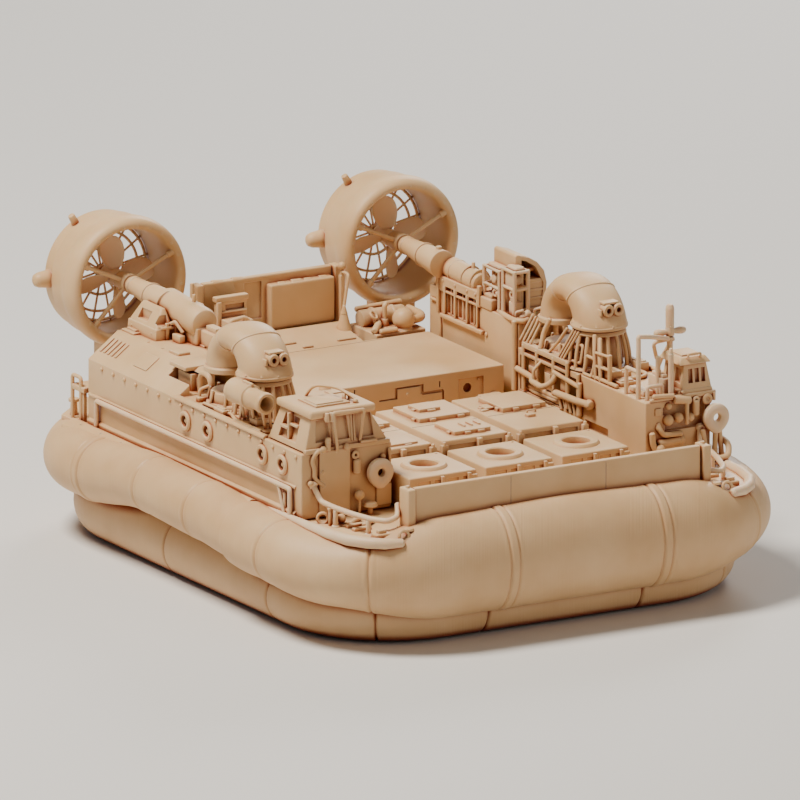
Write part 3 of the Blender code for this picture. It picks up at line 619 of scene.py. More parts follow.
def makePropeller(name, side):
    x, z = side * duct["x"], duct["z"]
    form = bmesh.new()
    spinner = [(0, 103.3), (2.4, 103.3), (3.1, 104), (3.1, 112), (2.7, 114.2), (1.6, 115.6), (0, 116)]
    addTurned(form, spinner, aimAft(x, z), 28)
    spans = [2.4, 3.4, 4.6, 6.4, 8.6, 10.6, 12.4, 13.8, 14.8, duct["bladeSpan"]]
    chords = [2.6, 4.6, 6.4, 8, 8.9, 8.9, 8.2, 6.8, 4.4, 2]
    for k in range(duct["blades"]):
        lean = math.radians(duct["phase"]) + 2 * math.pi * k / duct["blades"]
        at = Matrix.Translation((x, duct["fanY"], z)) @ Matrix.Rotation(lean, 4, "Y")
        rings = []
        for span, chord in zip(spans, chords):
            pitch = -math.radians(duct["pitch"] + 14 - 22 * span / duct["bladeSpan"])
            thick = 1.5 - 0.9 * span / duct["bladeSpan"]
            ring = []
            for s in range(16):
                a = 2 * math.pi * s / 16
                u = chord / 2 * math.cos(a)
                w = thick / 2 * math.sin(a) * (0.75 + 0.35 * math.cos(a))
                spot = Matrix.Rotation(pitch, 4, "Z") @ Vector((u, w, 0))
                ring.append(form.verts.new(at @ Vector((spot.x, spot.y, span))))
            rings.append(ring)
        for low, high in zip(rings, rings[1:]):
            for s in range(16):
                after = (s + 1) % 16
                form.faces.new((low[s], low[after], high[after], high[s]))
        form.faces.new(rings[-1])
        form.faces.new(rings[0][::-1])
    finishForm(form, name + "Propeller", (name + "_propeller",), material=thinResin, body=name + "_fan")


for sideName, side in sides:
    makeDuct(sideName, side)
    makePropeller(sideName, side)
print("ducts and propellers made")


# Bow thrusters: a cage of leaning ribs under a swivelling U-shaped nozzle

thruster = {
    "x": 67.1, "y": -18.3, "foot": 60.2, "head": 74.2, "ribs": 16, "ribFoot": 10.9, "ribHead": 8.6,
    "core": (8.6, 6.6), "lampZ": 81.8, "mouthZ": 71.4,
    # outer circle of the U (y, z, radius), middle of its arch, how wide the arch stands open, half
    # the duct's width
    "outer": (10.6, 71.1, 19.8), "arch": (12.2, 76), "open": 3.9, "halfWidth": 9.2, "steps": 44,
}


def addOvals(form, x, sections, around=64, power=2.25):
    # duct through ovals that stand across X: middle, outward direction, two half sizes
    rings = []
    for (y, z), (outY, outZ), across, deep in sections:
        ring = []
        for step in range(around):
            angle = 2 * math.pi * step / around
            cos, sin = math.cos(angle), math.sin(angle)
            wide = math.copysign(abs(cos) ** (2 / power), cos) * across
            shift = math.copysign(abs(sin) ** (2 / power), sin) * deep
            ring.append(form.verts.new((x + wide, y + shift * outY, z + shift * outZ)))
        rings.append(ring)
    for ring, following in zip(rings, rings[1:]):
        for step in range(around):
            after = (step + 1) % around
            form.faces.new((ring[step], ring[after], following[after], following[step]))
    form.faces.new(rings[0])
    form.faces.new(rings[-1])


def hornSections():
    steps = thruster["steps"]
    (archY, archZ), (circleY, circleZ, radius) = thruster["arch"], thruster["outer"]
    offY, offZ = archY - circleY, archZ - circleZ
    sections = []
    for k in range(steps + 1):
        turn = math.pi * k / steps
        out = (-math.cos(turn), math.sin(turn))
        along = offY * out[0] + offZ * out[1]
        outer = math.sqrt(along ** 2 + radius ** 2 - offY ** 2 - offZ ** 2) - along
        # fuller at the front, where it grows out of the flange
        outer += 1.1 * max(0, 1 - turn / 0.9)
        inner = thruster["open"] + 0.8 * math.sin(turn)
        middle = (outer + inner) / 2
        place = (thruster["y"] + archY + middle * out[0], archZ + middle * out[1])
        sections.append((place, out, thruster["halfWidth"], (outer - inner) / 2))
    return sections


def makeThruster(name, side):
    x, y = side * thruster["x"], thruster["y"]
    form = bmesh.new()
    addPost(form, x, y, thruster["foot"], thruster["head"], *thruster["core"], 0.25, 40)
    addPost(form, x, y, thruster["head"] - 1.6, thruster["head"], 9.6, 9.2, 0.4, 48)
    addPost(form, x, y, thruster["foot"], thruster["foot"] + 1.2, 11.6, 11.3, 0.4, 48)
    for k in range(thruster["ribs"]):
        turn = 2 * math.pi * (k + 0.5) / thruster["ribs"]
        cos, sin = math.cos(turn), math.sin(turn)
        foot = (x + thruster["ribFoot"] * cos, y + thruster["ribFoot"] * sin, thruster["foot"] + 0.6)
        waist = (x + 10.4 * cos, y + 10.4 * sin, thruster["foot"] + 7)
        head = (x + thruster["ribHead"] * cos, y + thruster["ribHead"] * sin, thruster["head"] - 0.8)
        addTube(form, [foot, waist, head], 0.72, bend=3, around=8)
    finishForm(form, name + "ThrusterCage", (name + "_thruster_cage",))

    form = bmesh.new()
    sections = hornSections()
    (frontY, _), _, across, deep = sections[0]
    (mouthY, _), _, mouthAcross, mouthDeep = sections[-1]
    mouthZ = thruster["mouthZ"]
    aft = (1, 0)
    start = ((frontY, 74.6), (-1, 0), across, deep)
    addOvals(form, x, [start] + sections + [((mouthY, mouthZ + 0.6), aft, mouthAcross, mouthDeep)])
    horn = toObject(form, name + "ThrusterNozzle")
    form = bmesh.new()
    addOvals(form, x, [((mouthY, mouthZ - 4), aft, 7.9, 5.9), ((mouthY, mouthZ + 2), aft, 7.6, 5.6),
                       ((mouthY, 80.4), aft, 7, 5)])
    carve(horn, form)
    form = bmesh.new()
    lip = [(mouthZ, 9.5, 7.5), (mouthZ + 0.4, 10, 8), (mouthZ + 1.8, 10, 8), (mouthZ + 2.3, 9.5, 7.5)]
    addOvals(form, x, [((mouthY, z), aft, wide, tall) for z, wide, tall in lip])
    rim = toObject(form, "rim")
    form = bmesh.new()
    addOvals(form, x, [((mouthY, mouthZ - 1), aft, 8, 6), ((mouthY, mouthZ + 4), aft, 7.7, 5.7)])
    carve(rim, form)
    form = bmesh.new()
    form.from_mesh(rim.data)
    form.transform(Matrix.Translation((0, 0, -lift)) @ Matrix.Scale(1 / mm, 4))
    bpy.data.objects.remove(rim)
    flange = [(0, 74.5), (9.7, 74.5), (10.1, 74.8), (10.1, 75.6), (9.7, 76), (9.5, 76.7), (9.1, 77.2),
              (0, 77.2)]
    addTurned(form, flange, Matrix.Translation((x, y, 0)), 56)
    for shift in (-1.1, 2.9):
        rim = [(0, -5), (2.1, -5), (2.1, 0.5), (1.8, 0.9), (1, 0.9), (0.8, 0.6), (0.75, -0.9), (0, -1)]
        at = aim((x + shift, y - 8, thruster["lampZ"]), (0, -1, 0)) @ Matrix.Diagonal((1, 1.08, 1, 1))
        addTurned(form, rim, at, 28)
    addBox(form, (x - 2.6, y - 7.9, 83.8), (x + 3.4, y - 4, 84.7), 0.3)
    addBox(form, (x - 4.2, y - 8.2, 80), (x - 3.4, y - 5, 82.4), 0.3)
    # a seam round the bend, and a clip on its crown
    for turn in (0.95, 2.1):
        k = int(turn / math.pi * thruster["steps"])
        (ringY, ringZ), out, across, deep = sections[k]
        band = [(-0.4, 0.05), (-0.25, 0.28), (0.25, 0.28), (0.4, 0.05)]
        lean = (out[1], -out[0])
        addOvals(form, x, [((ringY + lean[0] * shift, ringZ + lean[1] * shift), out, across + grow, deep + grow)
                           for shift, grow in band])
    for k in range(10):
        turn = 2 * math.pi * (k + 0.5) / 10
        addBolt(form, (x + 9.65 * math.cos(turn), y + 9.65 * math.sin(turn), 76.2), (0, 0, 1), 0.38, 0.3)
    carve(horn, form, "UNION")
    finishPiece(horn, (name + "_thruster_nozzle",), 42, body=name + "_nozzle")


for sideName, side in sides:
    makeThruster(sideName, side)
print("thrusters made")


# Raft: the deck plate with its posts, gunwale tubes and side planks, and the hull under it

raft = {
    "bottom": 30, "deck": 36.2, "hullFoot": 12,
    "half": ((57.5, -107), (61, -111.6), (66, -111.8), (71.6, -110.6), (76.6, -106.2), (80.6, -99.8),
             (82.6, -92), (83.6, -80), (83.6, 96), (66, 112)),
    "underHalf": ((57.5, -100), (64, -102), (72, -94), (78, -80), (82.8, -60), (82.8, 92), (62, 104)),
    "hullHalf": ((58, -94), (68, -84), (68, 88), (58, 98)),
    "gunwale": ((82.9, -44, 36), (83.3, -52, 36.1), (83.5, -64, 36.2), (83.3, -78, 36.2), (82.4, -90, 36.2),
                (80.2, -99.4, 36.2), (76.2, -105.8, 36.2), (71.6, -110, 36.2), (66, -111.8, 36.2)),
    "gunwaleRadii": (0.5, 1, 1.5, 1.9, 2, 2, 2, 1.9, 1.6),
    "plank": ((82.8, 37), (84.6, 37.5), (88.9, 35.9), (89.6, 34.6), (82.8, 31)),
}


def bothSides(half):
    return list(half) + [(-x, y) for x, y in reversed(half)]


form = bmesh.new()
addPrism(form, bothSides(raft["half"]), "Z", raft["deck"] - 1.8, raft["deck"], 0.4)
addPrism(form, bothSides(raft["underHalf"]), "Z", raft["bottom"], raft["deck"] - 0.6, 0.4)
addPrism(form, bothSides(raft["hullHalf"]), "Z", raft["hullFoot"], raft["bottom"] + 1, 0.8)
for sideName, side in sides:
    for box in (
            (57.5, 60.5, -106.6, -100, 35, 52.9, 0.6, 3), (57.2, 61.2, -107.2, -99.4, 35, 39.2, 0.5),
            (26.4, 29.4, 95.4, 100.4, 35, 75.4, 0.6, 3), (26.1, 30, 94.9, 100.9, 35, 38.6, 0.5)):
        sideBox(form, side, *box)
    addPost(form, side * 59, -103.2, 52, 53.8, 1, 0.7)
    addPrism(form, [(side * x, z) for x, z in raft["plank"]], "Y", -40, 86, 0.3)
    for k in range(9):
        addBolt(form, (side * 85.9, -34 + 14 * k, 37), (side * 0.4, 0, 1), 0.5, 0.35)
    # bollards, cleats and eyes on the bow corner of the deck
    addPost(form, side * 61.5, -108.4, 36, 39.4, 1.3, 1.1)
    addPost(form, side * 61.5, -108.4, 39.2, 40.2, 1.9, 1.7)
    addRing(form, (side * 64.6, -110.4, 38.2), (0, -1, 0.2), 1.8, 0.6, 28, 10)
    sideBox(form, side, 66.6, 72.6, -105.6, -101.6, 36, 38.4, 0.6, 3)
    sideBox(form, side, 68, 71.2, -104.6, -102.6, 38.2, 39.6, 0.4)
    sideTube(form, side, [(62.6, -104.6, 37.6), (65.6, -103, 37.7), (65.6, -98.6, 37.6)], 0.9, 1.4)
    for y in (-91, -86):
        sideBox(form, side, 66, 73, y, y + 2.2, 36, 37.4, 0.5)
    sideTube(form, side, [(64.4, -79, 37.1), (70.6, -83.6, 37.1)], 1)
    sideTube(form, side, [(62, -83.6, 37.1), (67.4, -88, 37.1)], 1)
    addRing(form, (side * 76.8, -75.6, 38), (side * 0.5, -0.8, 0.1), 1.8, 0.6, 28, 10)
    addBall(form, (side * 71.4, -79, 38), 1.7)
    addPost(form, side * 71.4, -79, 36, 38, 0.8)
    for x in (74.3, 76.1):
        addPost(form, side * x, -79.6, 36, 42.4, 0.7)
    sideBox(form, side, 73.4, 77, -80.4, -78.8, 41.6, 42.6, 0.4)
    addPost(form, side * 56.6, -73.4, 36, 39.4, 0.9)
    addPost(form, side * 56.6, -73.4, 39, 40.6, 2.6, 2.3, 0.5, 28)
    addBall(form, (side * 60.2, -72.2, 43.3), 1.8)
    addPost(form, side * 60.2, -72.2, 36, 43, 0.5, 0.5, 0.1, 14)
    # corner fittings at the stern
    sideTube(form, side, [(82.4, 84, 36), (82.4, 84, 52), (82.4, 90, 52), (82.4, 90, 36)], 0.7, 1.4)
    addPost(form, side * 80, 93.4, 36, 41.4, 1.4, 1.1)
    addPost(form, side * 80, 93.4, 41, 42.2, 1.9)
    sideBox(form, side, 75.4, 82.8, 81.4, 90.4, 46.8, 48.8, 0.4)
    for x in (76.4, 81.6):
        sideBox(form, side, x - 0.7, x + 0.7, 82.4, 84, 36, 47, 0.2)
    sideBox(form, side, 30.6, 34.6, 100, 106, 36, 39.6, 0.5)
finishForm(form, "raftDeck", ("raft_deck",))

form = bmesh.new()
for sideName, side in sides:
    run = [(side * x, y, z) for x, y, z in raft["gunwale"]]
    addTube(form, run, 1.9, radii=raft["gunwaleRadii"], around=16)
finishForm(form, "raftGunwales", material=thinResin)
print("raft made")


# Deckhouses: long boxes on both sides, higher and sloped aft

house = {
    "outline": ((55.7, 36.5), (81.9, 36.5), (81.9, 59.9), (70, 68.6), (55.7, 68.6)),
    "rings": ((10.8, 53.4), (-4.6, 53.3), (-42.9, 53.9), (-56.8, 53.5)),
    "bolts": (-66, 8, 18), "boltZ": 58.2,
}


def addSlats(form, side, x, y, z, tilt, wide, tall, count):
    # louvre: leaning slats in an opening on an inboard wall
    for k in range(count):
        place = y + wide * (k + 0.5) / count
        at = Matrix.Translation((side * x, place, z + tall / 2)) @ Matrix.Rotation(side * tilt, 4, "Z")
        addBox(form, (-0.9, -0.22, -tall / 2), (0.9, 0.22, tall / 2), 0.1, 1, at)


def makeDeckhouse(name, side):
    form = bmesh.new()
    sideBox(form, side, 55.7, 81.9, -69.7, 22, 36.5, 59.9, 0.7, 3)
    addPrism(form, [(side * x, z) for x, z in house["outline"]], "Y", 18, 80, 0.6)
    if side < 0:
        sideBox(form, side, 46, 58, -69.7, -58, 36.5, 59.9, 0.7, 3)
    shell = toObject(form, name + "DeckhouseWalls")
    form = bmesh.new()
    for y, z in house["rings"]:
        softDrum(form, (side * 80.4, y, z), (side * 84, y, z), 2, 2, 0)
    # openings in the inboard wall, louvres aft and machinery forward
    slots = ((45.9, 51.4), (53.4, 59.7), (62, 67.4)) if side > 0 else ((47.9, 54), (55.2, 61.3), (62.5, 68.4))
    for y0, y1 in slots:
        sideBox(form, side, 54, 57, y0, y1, 61, 69.6 if side > 0 else 67.4, 0.2)
    sideBox(form, side, 54, 61, -25, 16.8, 45, 57.6, 0.4)
    sideBox(form, side, 54, 58, -44, -28, 41, 44.6, 0.3)
    # pit in the roof behind the horn's mouth
    sideBox(form, side, 58.6, 76.4, 14, 33, 60.3, 67.2, 0.3)
    if side > 0:
        sideBox(form, side, 63.4, 79.6, -72, -67.6, 48.8, 58.6, 0.5)
        sideBox(form, side, 62.6, 64.6, -72, -68.6, 54.6, 57.4, 0.2)
    carve(shell, form)
    finishPiece(shell, (name + "_deckhouse",), 30)

    form = bmesh.new()
    for y, z in house["rings"]:
        rim = [(2, -0.6), (2, 0.8), (2.35, 1.15), (3.15, 1.15), (3.65, 0.6), (3.65, -0.6)]
        addTurned(form, rim, aim((side * 81.9, y, z), (side, 0, 0)), 36, closed=True)
        addBall(form, (side * 81.3, y, z), 1.1, 1.2)
    first, step, count = house["bolts"]
    for k in range(count):
        y = first + step * k
        addBall(form, (side * 81.9, y, house["boltZ"]), 0.8)
    # sill along the roof's outer edge, and the seam under the rail
    addPrism(form, [(side * 80.4, 59.6), (side * 82.5, 59.6), (side * 82.5, 60.2), (side * 81.9, 60.9),
                    (side * 80.4, 60.9)],
             "Y", -44, 19, 0.2)
    addPrism(form, [(side * 81.6, 46.7), (side * 82.5, 46.9), (side * 82.5, 47.6), (side * 81.6, 48.2)], "Y",
             -66, 79, 0.15)
    addPrism(form, [(side * 81.6, 36.4), (side * 82.8, 36.4), (side * 82.8, 38.2), (side * 81.6, 39.2)], "Y",
             -66, 79, 0.2)
    for k in range(11):
        softDrum(form, (side * 81.5, -58 + 12.6 * k, 46.6), (side * 83, -58 + 12.6 * k, 46.6), 0.55, 0.55, 0.1,
                 12)
    # awning over the pit, and what stands in it
    sideBox(form, side, 60.4, 75.4, 22.6, 34, 67.4, 68.9, 0.35)
    sideBox(form, side, 64, 73.6, 21.6, 31, 60, 66.4, 0.5)
    sideBox(form, side, 66, 71.6, 20.9, 22.2, 61.4, 65, 0.3)
    sideTube(form, side, [(71.4, 11.8, 59.8), (71.4, 11.8, 67.6), (71.4, 19.2, 67.6), (71.4, 19.2, 59.8)], 1,
             3.4)
    sideTube(form, side, [(76.6, 10.6, 59.8), (76.6, 10.6, 64), (74, 8.6, 65.4)], 0.6, 1.4)
    sideBox(form, side, 73, 78, 8.6, 11, 59.8, 61.6, 0.4)
    sideBox(form, side, 58.2, 63, 12, 17, 59.8, 62.4, 0.4)
    # seat under the horn's mouth
    addPost(form, side * 67.1, 2.9, 59.7, 64.6, 8.8, 8.3, 0.6, 48)
    addPost(form, side * 67.1, 2.9, 59.7, 60.9, 10, 9.8, 0.4, 48)
    for k in range(9):
        turn = math.radians(20 + 40 * k)
        addTube(form, [(side * 67.1 + 9.6 * math.cos(turn), 2.9 + 9.6 * math.sin(turn), 60),
                       (side * 67.1 + 8.5 * math.cos(turn), 2.9 + 8.5 * math.sin(turn), 65.2)], 0.55, around=8)
    # small boxes, pipes and covers on the low roof
    for x, y, wide, long, tall in ((58.6, -36, 5, 8, 2.6), (74.6, -33, 4.2, 5, 3.4), (57.8, -8, 3.4, 10, 1.8),
                                   (77.2, -12, 3, 6.6, 2), (59, -47, 6.6, 6, 1.6), (66, -36.6, 3.6, 3.6, 2.2)):
        sideBox(form, side, x, x + wide, y, y + long, 59.6, 59.9 + tall, 0.4)
        sideBox(form, side, x + 0.7, x + wide - 0.7, y + 0.8, y + long - 0.8, 59.6, 60.4 + tall, 0.3)
    for run in (((57, -48), (57, -30), (60, -27)), ((80, -38), (80, -20), (77.6, -14), (78.6, 4)),
                ((62, -41), (72, -41), (74.6, -38), (74.6, -33))):
        addTube(form, [(side * x, y, 60.7) for x, y in run], 0.75, 1.6)
    # panel seams and hatches on the high roof
    sideBox(form, side, 57, 69, 70.4, 79, 68.3, 69.3, 0.3)
    sideBox(form, side, 58.4, 67.6, 71.8, 77.6, 69, 70, 0.3)
    sideBox(form, side, 64.6, 69.4, 38, 45, 68.3, 69.6, 0.3)
    for y in (40, 50, 60):
        addBolt(form, (side * 69, y, 68.6), (0, 0, 1), 0.5, 0.4)
    slope = Vector((side * 8.7, 0, 11.9)).normalized()
    for k in range(5):
        at = aim((side * 75.6, 67 + 2.6 * k, 64.5), slope)
        addBox(form, (-0.65, -3.4, -0.3), (0.65, 3.4, 0.5), 0.25, 2, at)
    at = aim((side * 75.4, 50, 64.6), slope)
    addBox(form, (-4.6, -3.4, -0.3), (4.6, 3.4, 0.45), 0.3, 2, at)
    finishForm(form, name + "DeckhouseFittings")


for sideName, side in sides:
    makeDeckhouse(sideName, side)
print("deckhouses made")

# Side rail: a pipe along the wall foot with double legs at its bow end
for sideName, side in sides:
    form = bmesh.new()
    x = side * 83.2
    addTube(form, [(x, 71.8, 36.2), (x, 71.8, 46.6), (x, -64, 46.6), (x, -64, 36.2)], 0.9, 1.2, around=12)
    addTube(form, [(x, -56, 46.4), (x, -60.2, 36.2)], 0.65)
    sideTube(form, side, [(82.4, -59, 44), (82.4, -59, 36.2)], 0.6)
    addPost(form, x, -64, 36, 37, 1.5, 1.3)
    addPost(form, x, 71.8, 36, 37, 1.5, 1.3)
    finishForm(form, sideName + "SideRail", (sideName + "_side_rail",), material=thinResin)

    form = bmesh.new()
    run = [(77.4, -69.8, 48.6), (75.9, -72.7, 43.2), (75.4, -80, 42.9), (73.4, -89, 42.4), (70.3, -98.4, 42),
           (66.6, -103, 41.9), (61.8, -101.4, 42.6), (60.2, -98.4, 46.2)]
    addTube(form, [(side * x, y, z) for x, y, z in run], 1, 1.8, around=12)
    for x, y in ((70.9, -97), (75.4, -82)):
        addPost(form, side * x, y, 36, 42.2, 0.85, 0.85, 0.2, 16)
        addPost(form, side * x, y, 36, 36.9, 1.5, 1.3)
    softDrum(form, (side * 77.4, -70.6, 48.2), (side * 77.6, -69.4, 49.2), 1.6, 1.4)
    finishForm(form, sideName + "BowRail", (sideName + "_bow_rail",), material=thinResin)
print("rails made")


# Starboard cabin: leaning walls with deep windows under a thick roof

cabin = {
    "foot": (-80.5, -47, -69.5, -44), "head": (-77, -54.5, -68, -47.5), "z": (60.2, 73),
    "front": ((-76, -70, 63.2, 70.8), (-67.8, -62.4, 63.2, 71.4), (-59.8, -52.8, 63, 71.2)),
    "side": (-62.4, -50.2, 62.2, 70.6),
}
form = bmesh.new()
addWedge(form, cabin["foot"], cabin["head"], *cabin["z"], 0.6, 3)
shell = toObject(form, "starboardCabinWalls")
form = bmesh.new()
for x0, x1, z0, z1 in cabin["front"]:
    addWedge(form, (x0, x1, -73, -68), (x0 + 0.6, x1 - 0.8, -73, -66.7), z0, z1, 0.3)
y0, y1, z0, z1 = cabin["side"]
addWedge(form, (-84, -78.4, y0, y1), (-84, -76, y0 + 0.8, y1 - 1.4), z0, z1, 0.3)
addWedge(form, (-49.8, -44, -65, -50), (-53.2, -44, -64, -51), 62.4, 70.6, 0.3)
addWedge(form, (-74, -56, -47.2, -43), (-72, -58, -49.4, -43), 62.4, 70.4, 0.3)
carve(shell, form)
finishPiece(shell, ("starboard_cabin",), 30)

form = bmesh.new()
addBox(form, (-78.8, -70.6, 71.9), (-52.6, -46.2, 74.8), 1.25, 4)
addBox(form, (-74.2, -66.2, 74.4), (-60.4, -53.6, 75.5), 0.35)
addBox(form, (-73.4, -65.4, 75.2), (-62.6, -56.4, 76), 0.3)
addBox(form, (-61, -53, 74.4), (-55.6, -49, 75.3), 0.3)
addRing(form, (-59.2, -61.6, 75.6), (0.4, -1, 0.3), 1.5, 0.7, 28, 10)
addTube(form, [(-69, -50, 74.6), (-67.6, -53, 79.2), (-61.4, -58.6, 78.8), (-58.6, -65.4, 76.4),
               (-58.2, -67.4, 74.8)], 0.55, 2.6)
addBall(form, (-58.6, -66.6, 75.3), 1)
for x in (-72.6, -70.9):
    softDrum(form, (x, -71.4, 70.8), (x, -71.2, 74), 0.85)
addBox(form, (-73.4, -71.3, 71.2), (-70.2, -70.2, 72.6), 0.3)
# window bars
for x in (-69.1, -61.6, -60.6):
    addTube(form, [(x, -69.3, 62.4), (x + 0.2, -68, 72.2)], 0.45, around=8)
addBox(form, (-79.6, -56.8, 61.8), (-77.4, -55.7, 71.6), 0.25)
addBox(form, (-79.6, -56.4, 65.4), (-77.6, -50.4, 66.5), 0.25)
addBox(form, (-79.2, -62, 67.2), (-77.2, -56.4, 68.1), 0.25)
# sill and the hoop before the windows
addBox(form, (-80.7, -70.3, 59.6), (-46.8, -68.6, 61.4), 0.5)
addBox(form, (-58.8, -71.2, 61.3), (-52.4, -69.4, 62.2), 0.3)
addTube(form, [(-68.3, -70, 59.6), (-68.6, -71.6, 60.6), (-70.6, -71.9, 73.9), (-58.2, -71.9, 73.6),
               (-58.6, -69.6, 62.2)], 0.62, 0.9)
# door with its curved gasket, knobs and latch on the bow wall
addBox(form, (-75.2, -70.7, 37.4), (-62.9, -69.2, 60.4), 0.6, 3)
addTube(form, [(-73.4, -70.2, 61), (-76.3, -70.2, 60.2), (-78.2, -70.2, 57.4), (-77, -70.2, 54.4),
               (-77.2, -70.2, 51), (-73.4, -70.4, 47.8)],
        0.85, 1.4)
for x, z, r in ((-73.7, 60.9, 1.25), (-71.8, 64, 1.15), (-64.4, 60.7, 1.35), (-50, 55.4, 1), (-78.8, 49.4, 1.1),
                (-74, 53, 0.7)):
    addBall(form, (x, -70.6, z), r)
addPost(form, -71.8, -70.4, 60.2, 64, 1.1)
addTube(form, [(-60.4, -70.5, 51.2), (-60.4, -70.5, 55.4)], 1.4, around=14)
addRing(form, (-60.9, -70.6, 57.4), (0, -1, 0), 1, 0.6, 24, 10)
addBox(form, (-52.4, -70.5, 38), (-46.4, -69.4, 45.4), 0.4)
addTube(form, [(-47.4, -70.6, 58), (-47.4, -70.6, 47.4), (-50, -70.8, 45)], 0.6, 1.2)
finishForm(form, "starboardCabinFittings")

# Port cabin: a small box with slot windows
form = bmesh.new()
addWedge(form, (69, 83.2, -69.4, -54), (69.4, 82.8, -69.2, -54.4), 60.2, 62.4, 0.4, 3)
addWedge(form, (70.8, 82.8, -69, -54.6), (72.2, 81.2, -67.8, -55.4), 62, 71.4, 0.5, 3)
shell = toObject(form, "portCabinWalls")
form = bmesh.new()
for x0, x1 in ((73.6, 75.4), (76.2, 78), (78.8, 80.4)):
    addBox(form, (x0, -72, 64.4), (x1, -67.2, 69.4), 0.1)
for y0, y1 in ((-67, -63), (-61.6, -57)):
    addBox(form, (66, y0, 64.4), (72.8, y1, 69.4), 0.2)
    addBox(form, (80.8, y0, 64.4), (86, y1, 69.4), 0.2)
carve(shell, form)
finishPiece(shell, ("port_cabin",), 30)
form = bmesh.new()
addWedge(form, (69.6, 82.6, -69.2, -54.4), (71, 81, -67.6, -55.8), 71.2, 73.6, 0.6, 3)
addBox(form, (72.4, -66, 73.2), (79.6, -58, 74.2), 0.35)
addBox(form, (68.4, -70.2, 59.6), (83.9, -53.4, 61.2), 0.5)
addTube(form, [(73.6, -68.4, 73.2), (73.6, -68.4, 74.8), (78.6, -68.4, 74.8), (78.6, -68.4, 73.2)], 0.4, 0.6)
addBolt(form, (70.6, -69.8, 62), (0, -1, 0), 0.6, 0.5)
finishForm(form, "portCabinFittings")
print("cabins made")


# Cargo well: raised platform with its stepped groove, a shelf behind it, and six hatch modules

well = {
    "modules": (-30.5, 0, 30.5), "half": 13.95,
    "groove": ((2.2, 46.6), (8.4, 46.6), (9, 50.1), (18.9, 50.2), (19.5, 47.3), (27.5, 46.8), (27.8, 41)),
}
form = bmesh.new()
addBox(form, (-52.3, 22, 36.5), (52.3, 74.6, 53.2), 0.6, 3)
addPrism(form, [(72.6, 36.5), (92, 36.5), (92, 56.4), (72.6, 52.8)], "X", -11, 26, 0.5)
shell = toObject(form, "deckPlatform")
form = bmesh.new()
addBox(form, (33.8, 20, 40.2), (44.1, 23.2, 50.3), 0.3)
softDrum(form, (38.1, 21, 46.4), (38.1, 25.2, 46.4), 1.7, 1.7, 0)
for (x0, z0), (x1, z1) in zip(well["groove"], well["groove"][1:]):
    addBox(form, (min(x0, x1) - 0.3, 21, min(z0, z1) - 0.3), (max(x0, x1) + 0.3, 22.7, max(z0, z1) + 0.3), 0)
for x, z0, z1 in ((26.3, 48.4, 50.6), (-8, 46, 52), (-30, 40, 51)):
    addBox(form, (x - 0.25, 21, z0), (x + 0.25, 22.6, z1), 0)
addBox(form, (-13, 73, 52.9), (33, 73.4, 54), 0)
carve(shell, form)
form = bmesh.new()
addBolt(form, (13.3, 22, 47.6), (0, -1, 0), 0.6, 0.4)
addBolt(form, (42.4, 23, 49), (0, -1, 0), 0.45, 0.4)
for x in (-46, -38, 46.6):
    addBox(form, (x, 21.2, 38), (x + 2.4, 22.4, 44), 0.3)
for x0, x1, y in ((-3.2, 1.6, 80), (2.2, 6, 75.6), (17, 24, 77)):
    rise = 53.1 + 0.186 * (y - 72.6)
    addTube(form, [(x0, y, rise), (x1, y, rise)], 0.5, around=8)
addPost(form, -18.6, 24.4, 53, 54.4, 2.2, 1.8)
carve(shell, form, "UNION")
finishPiece(shell, ("deck_platform",), 30)

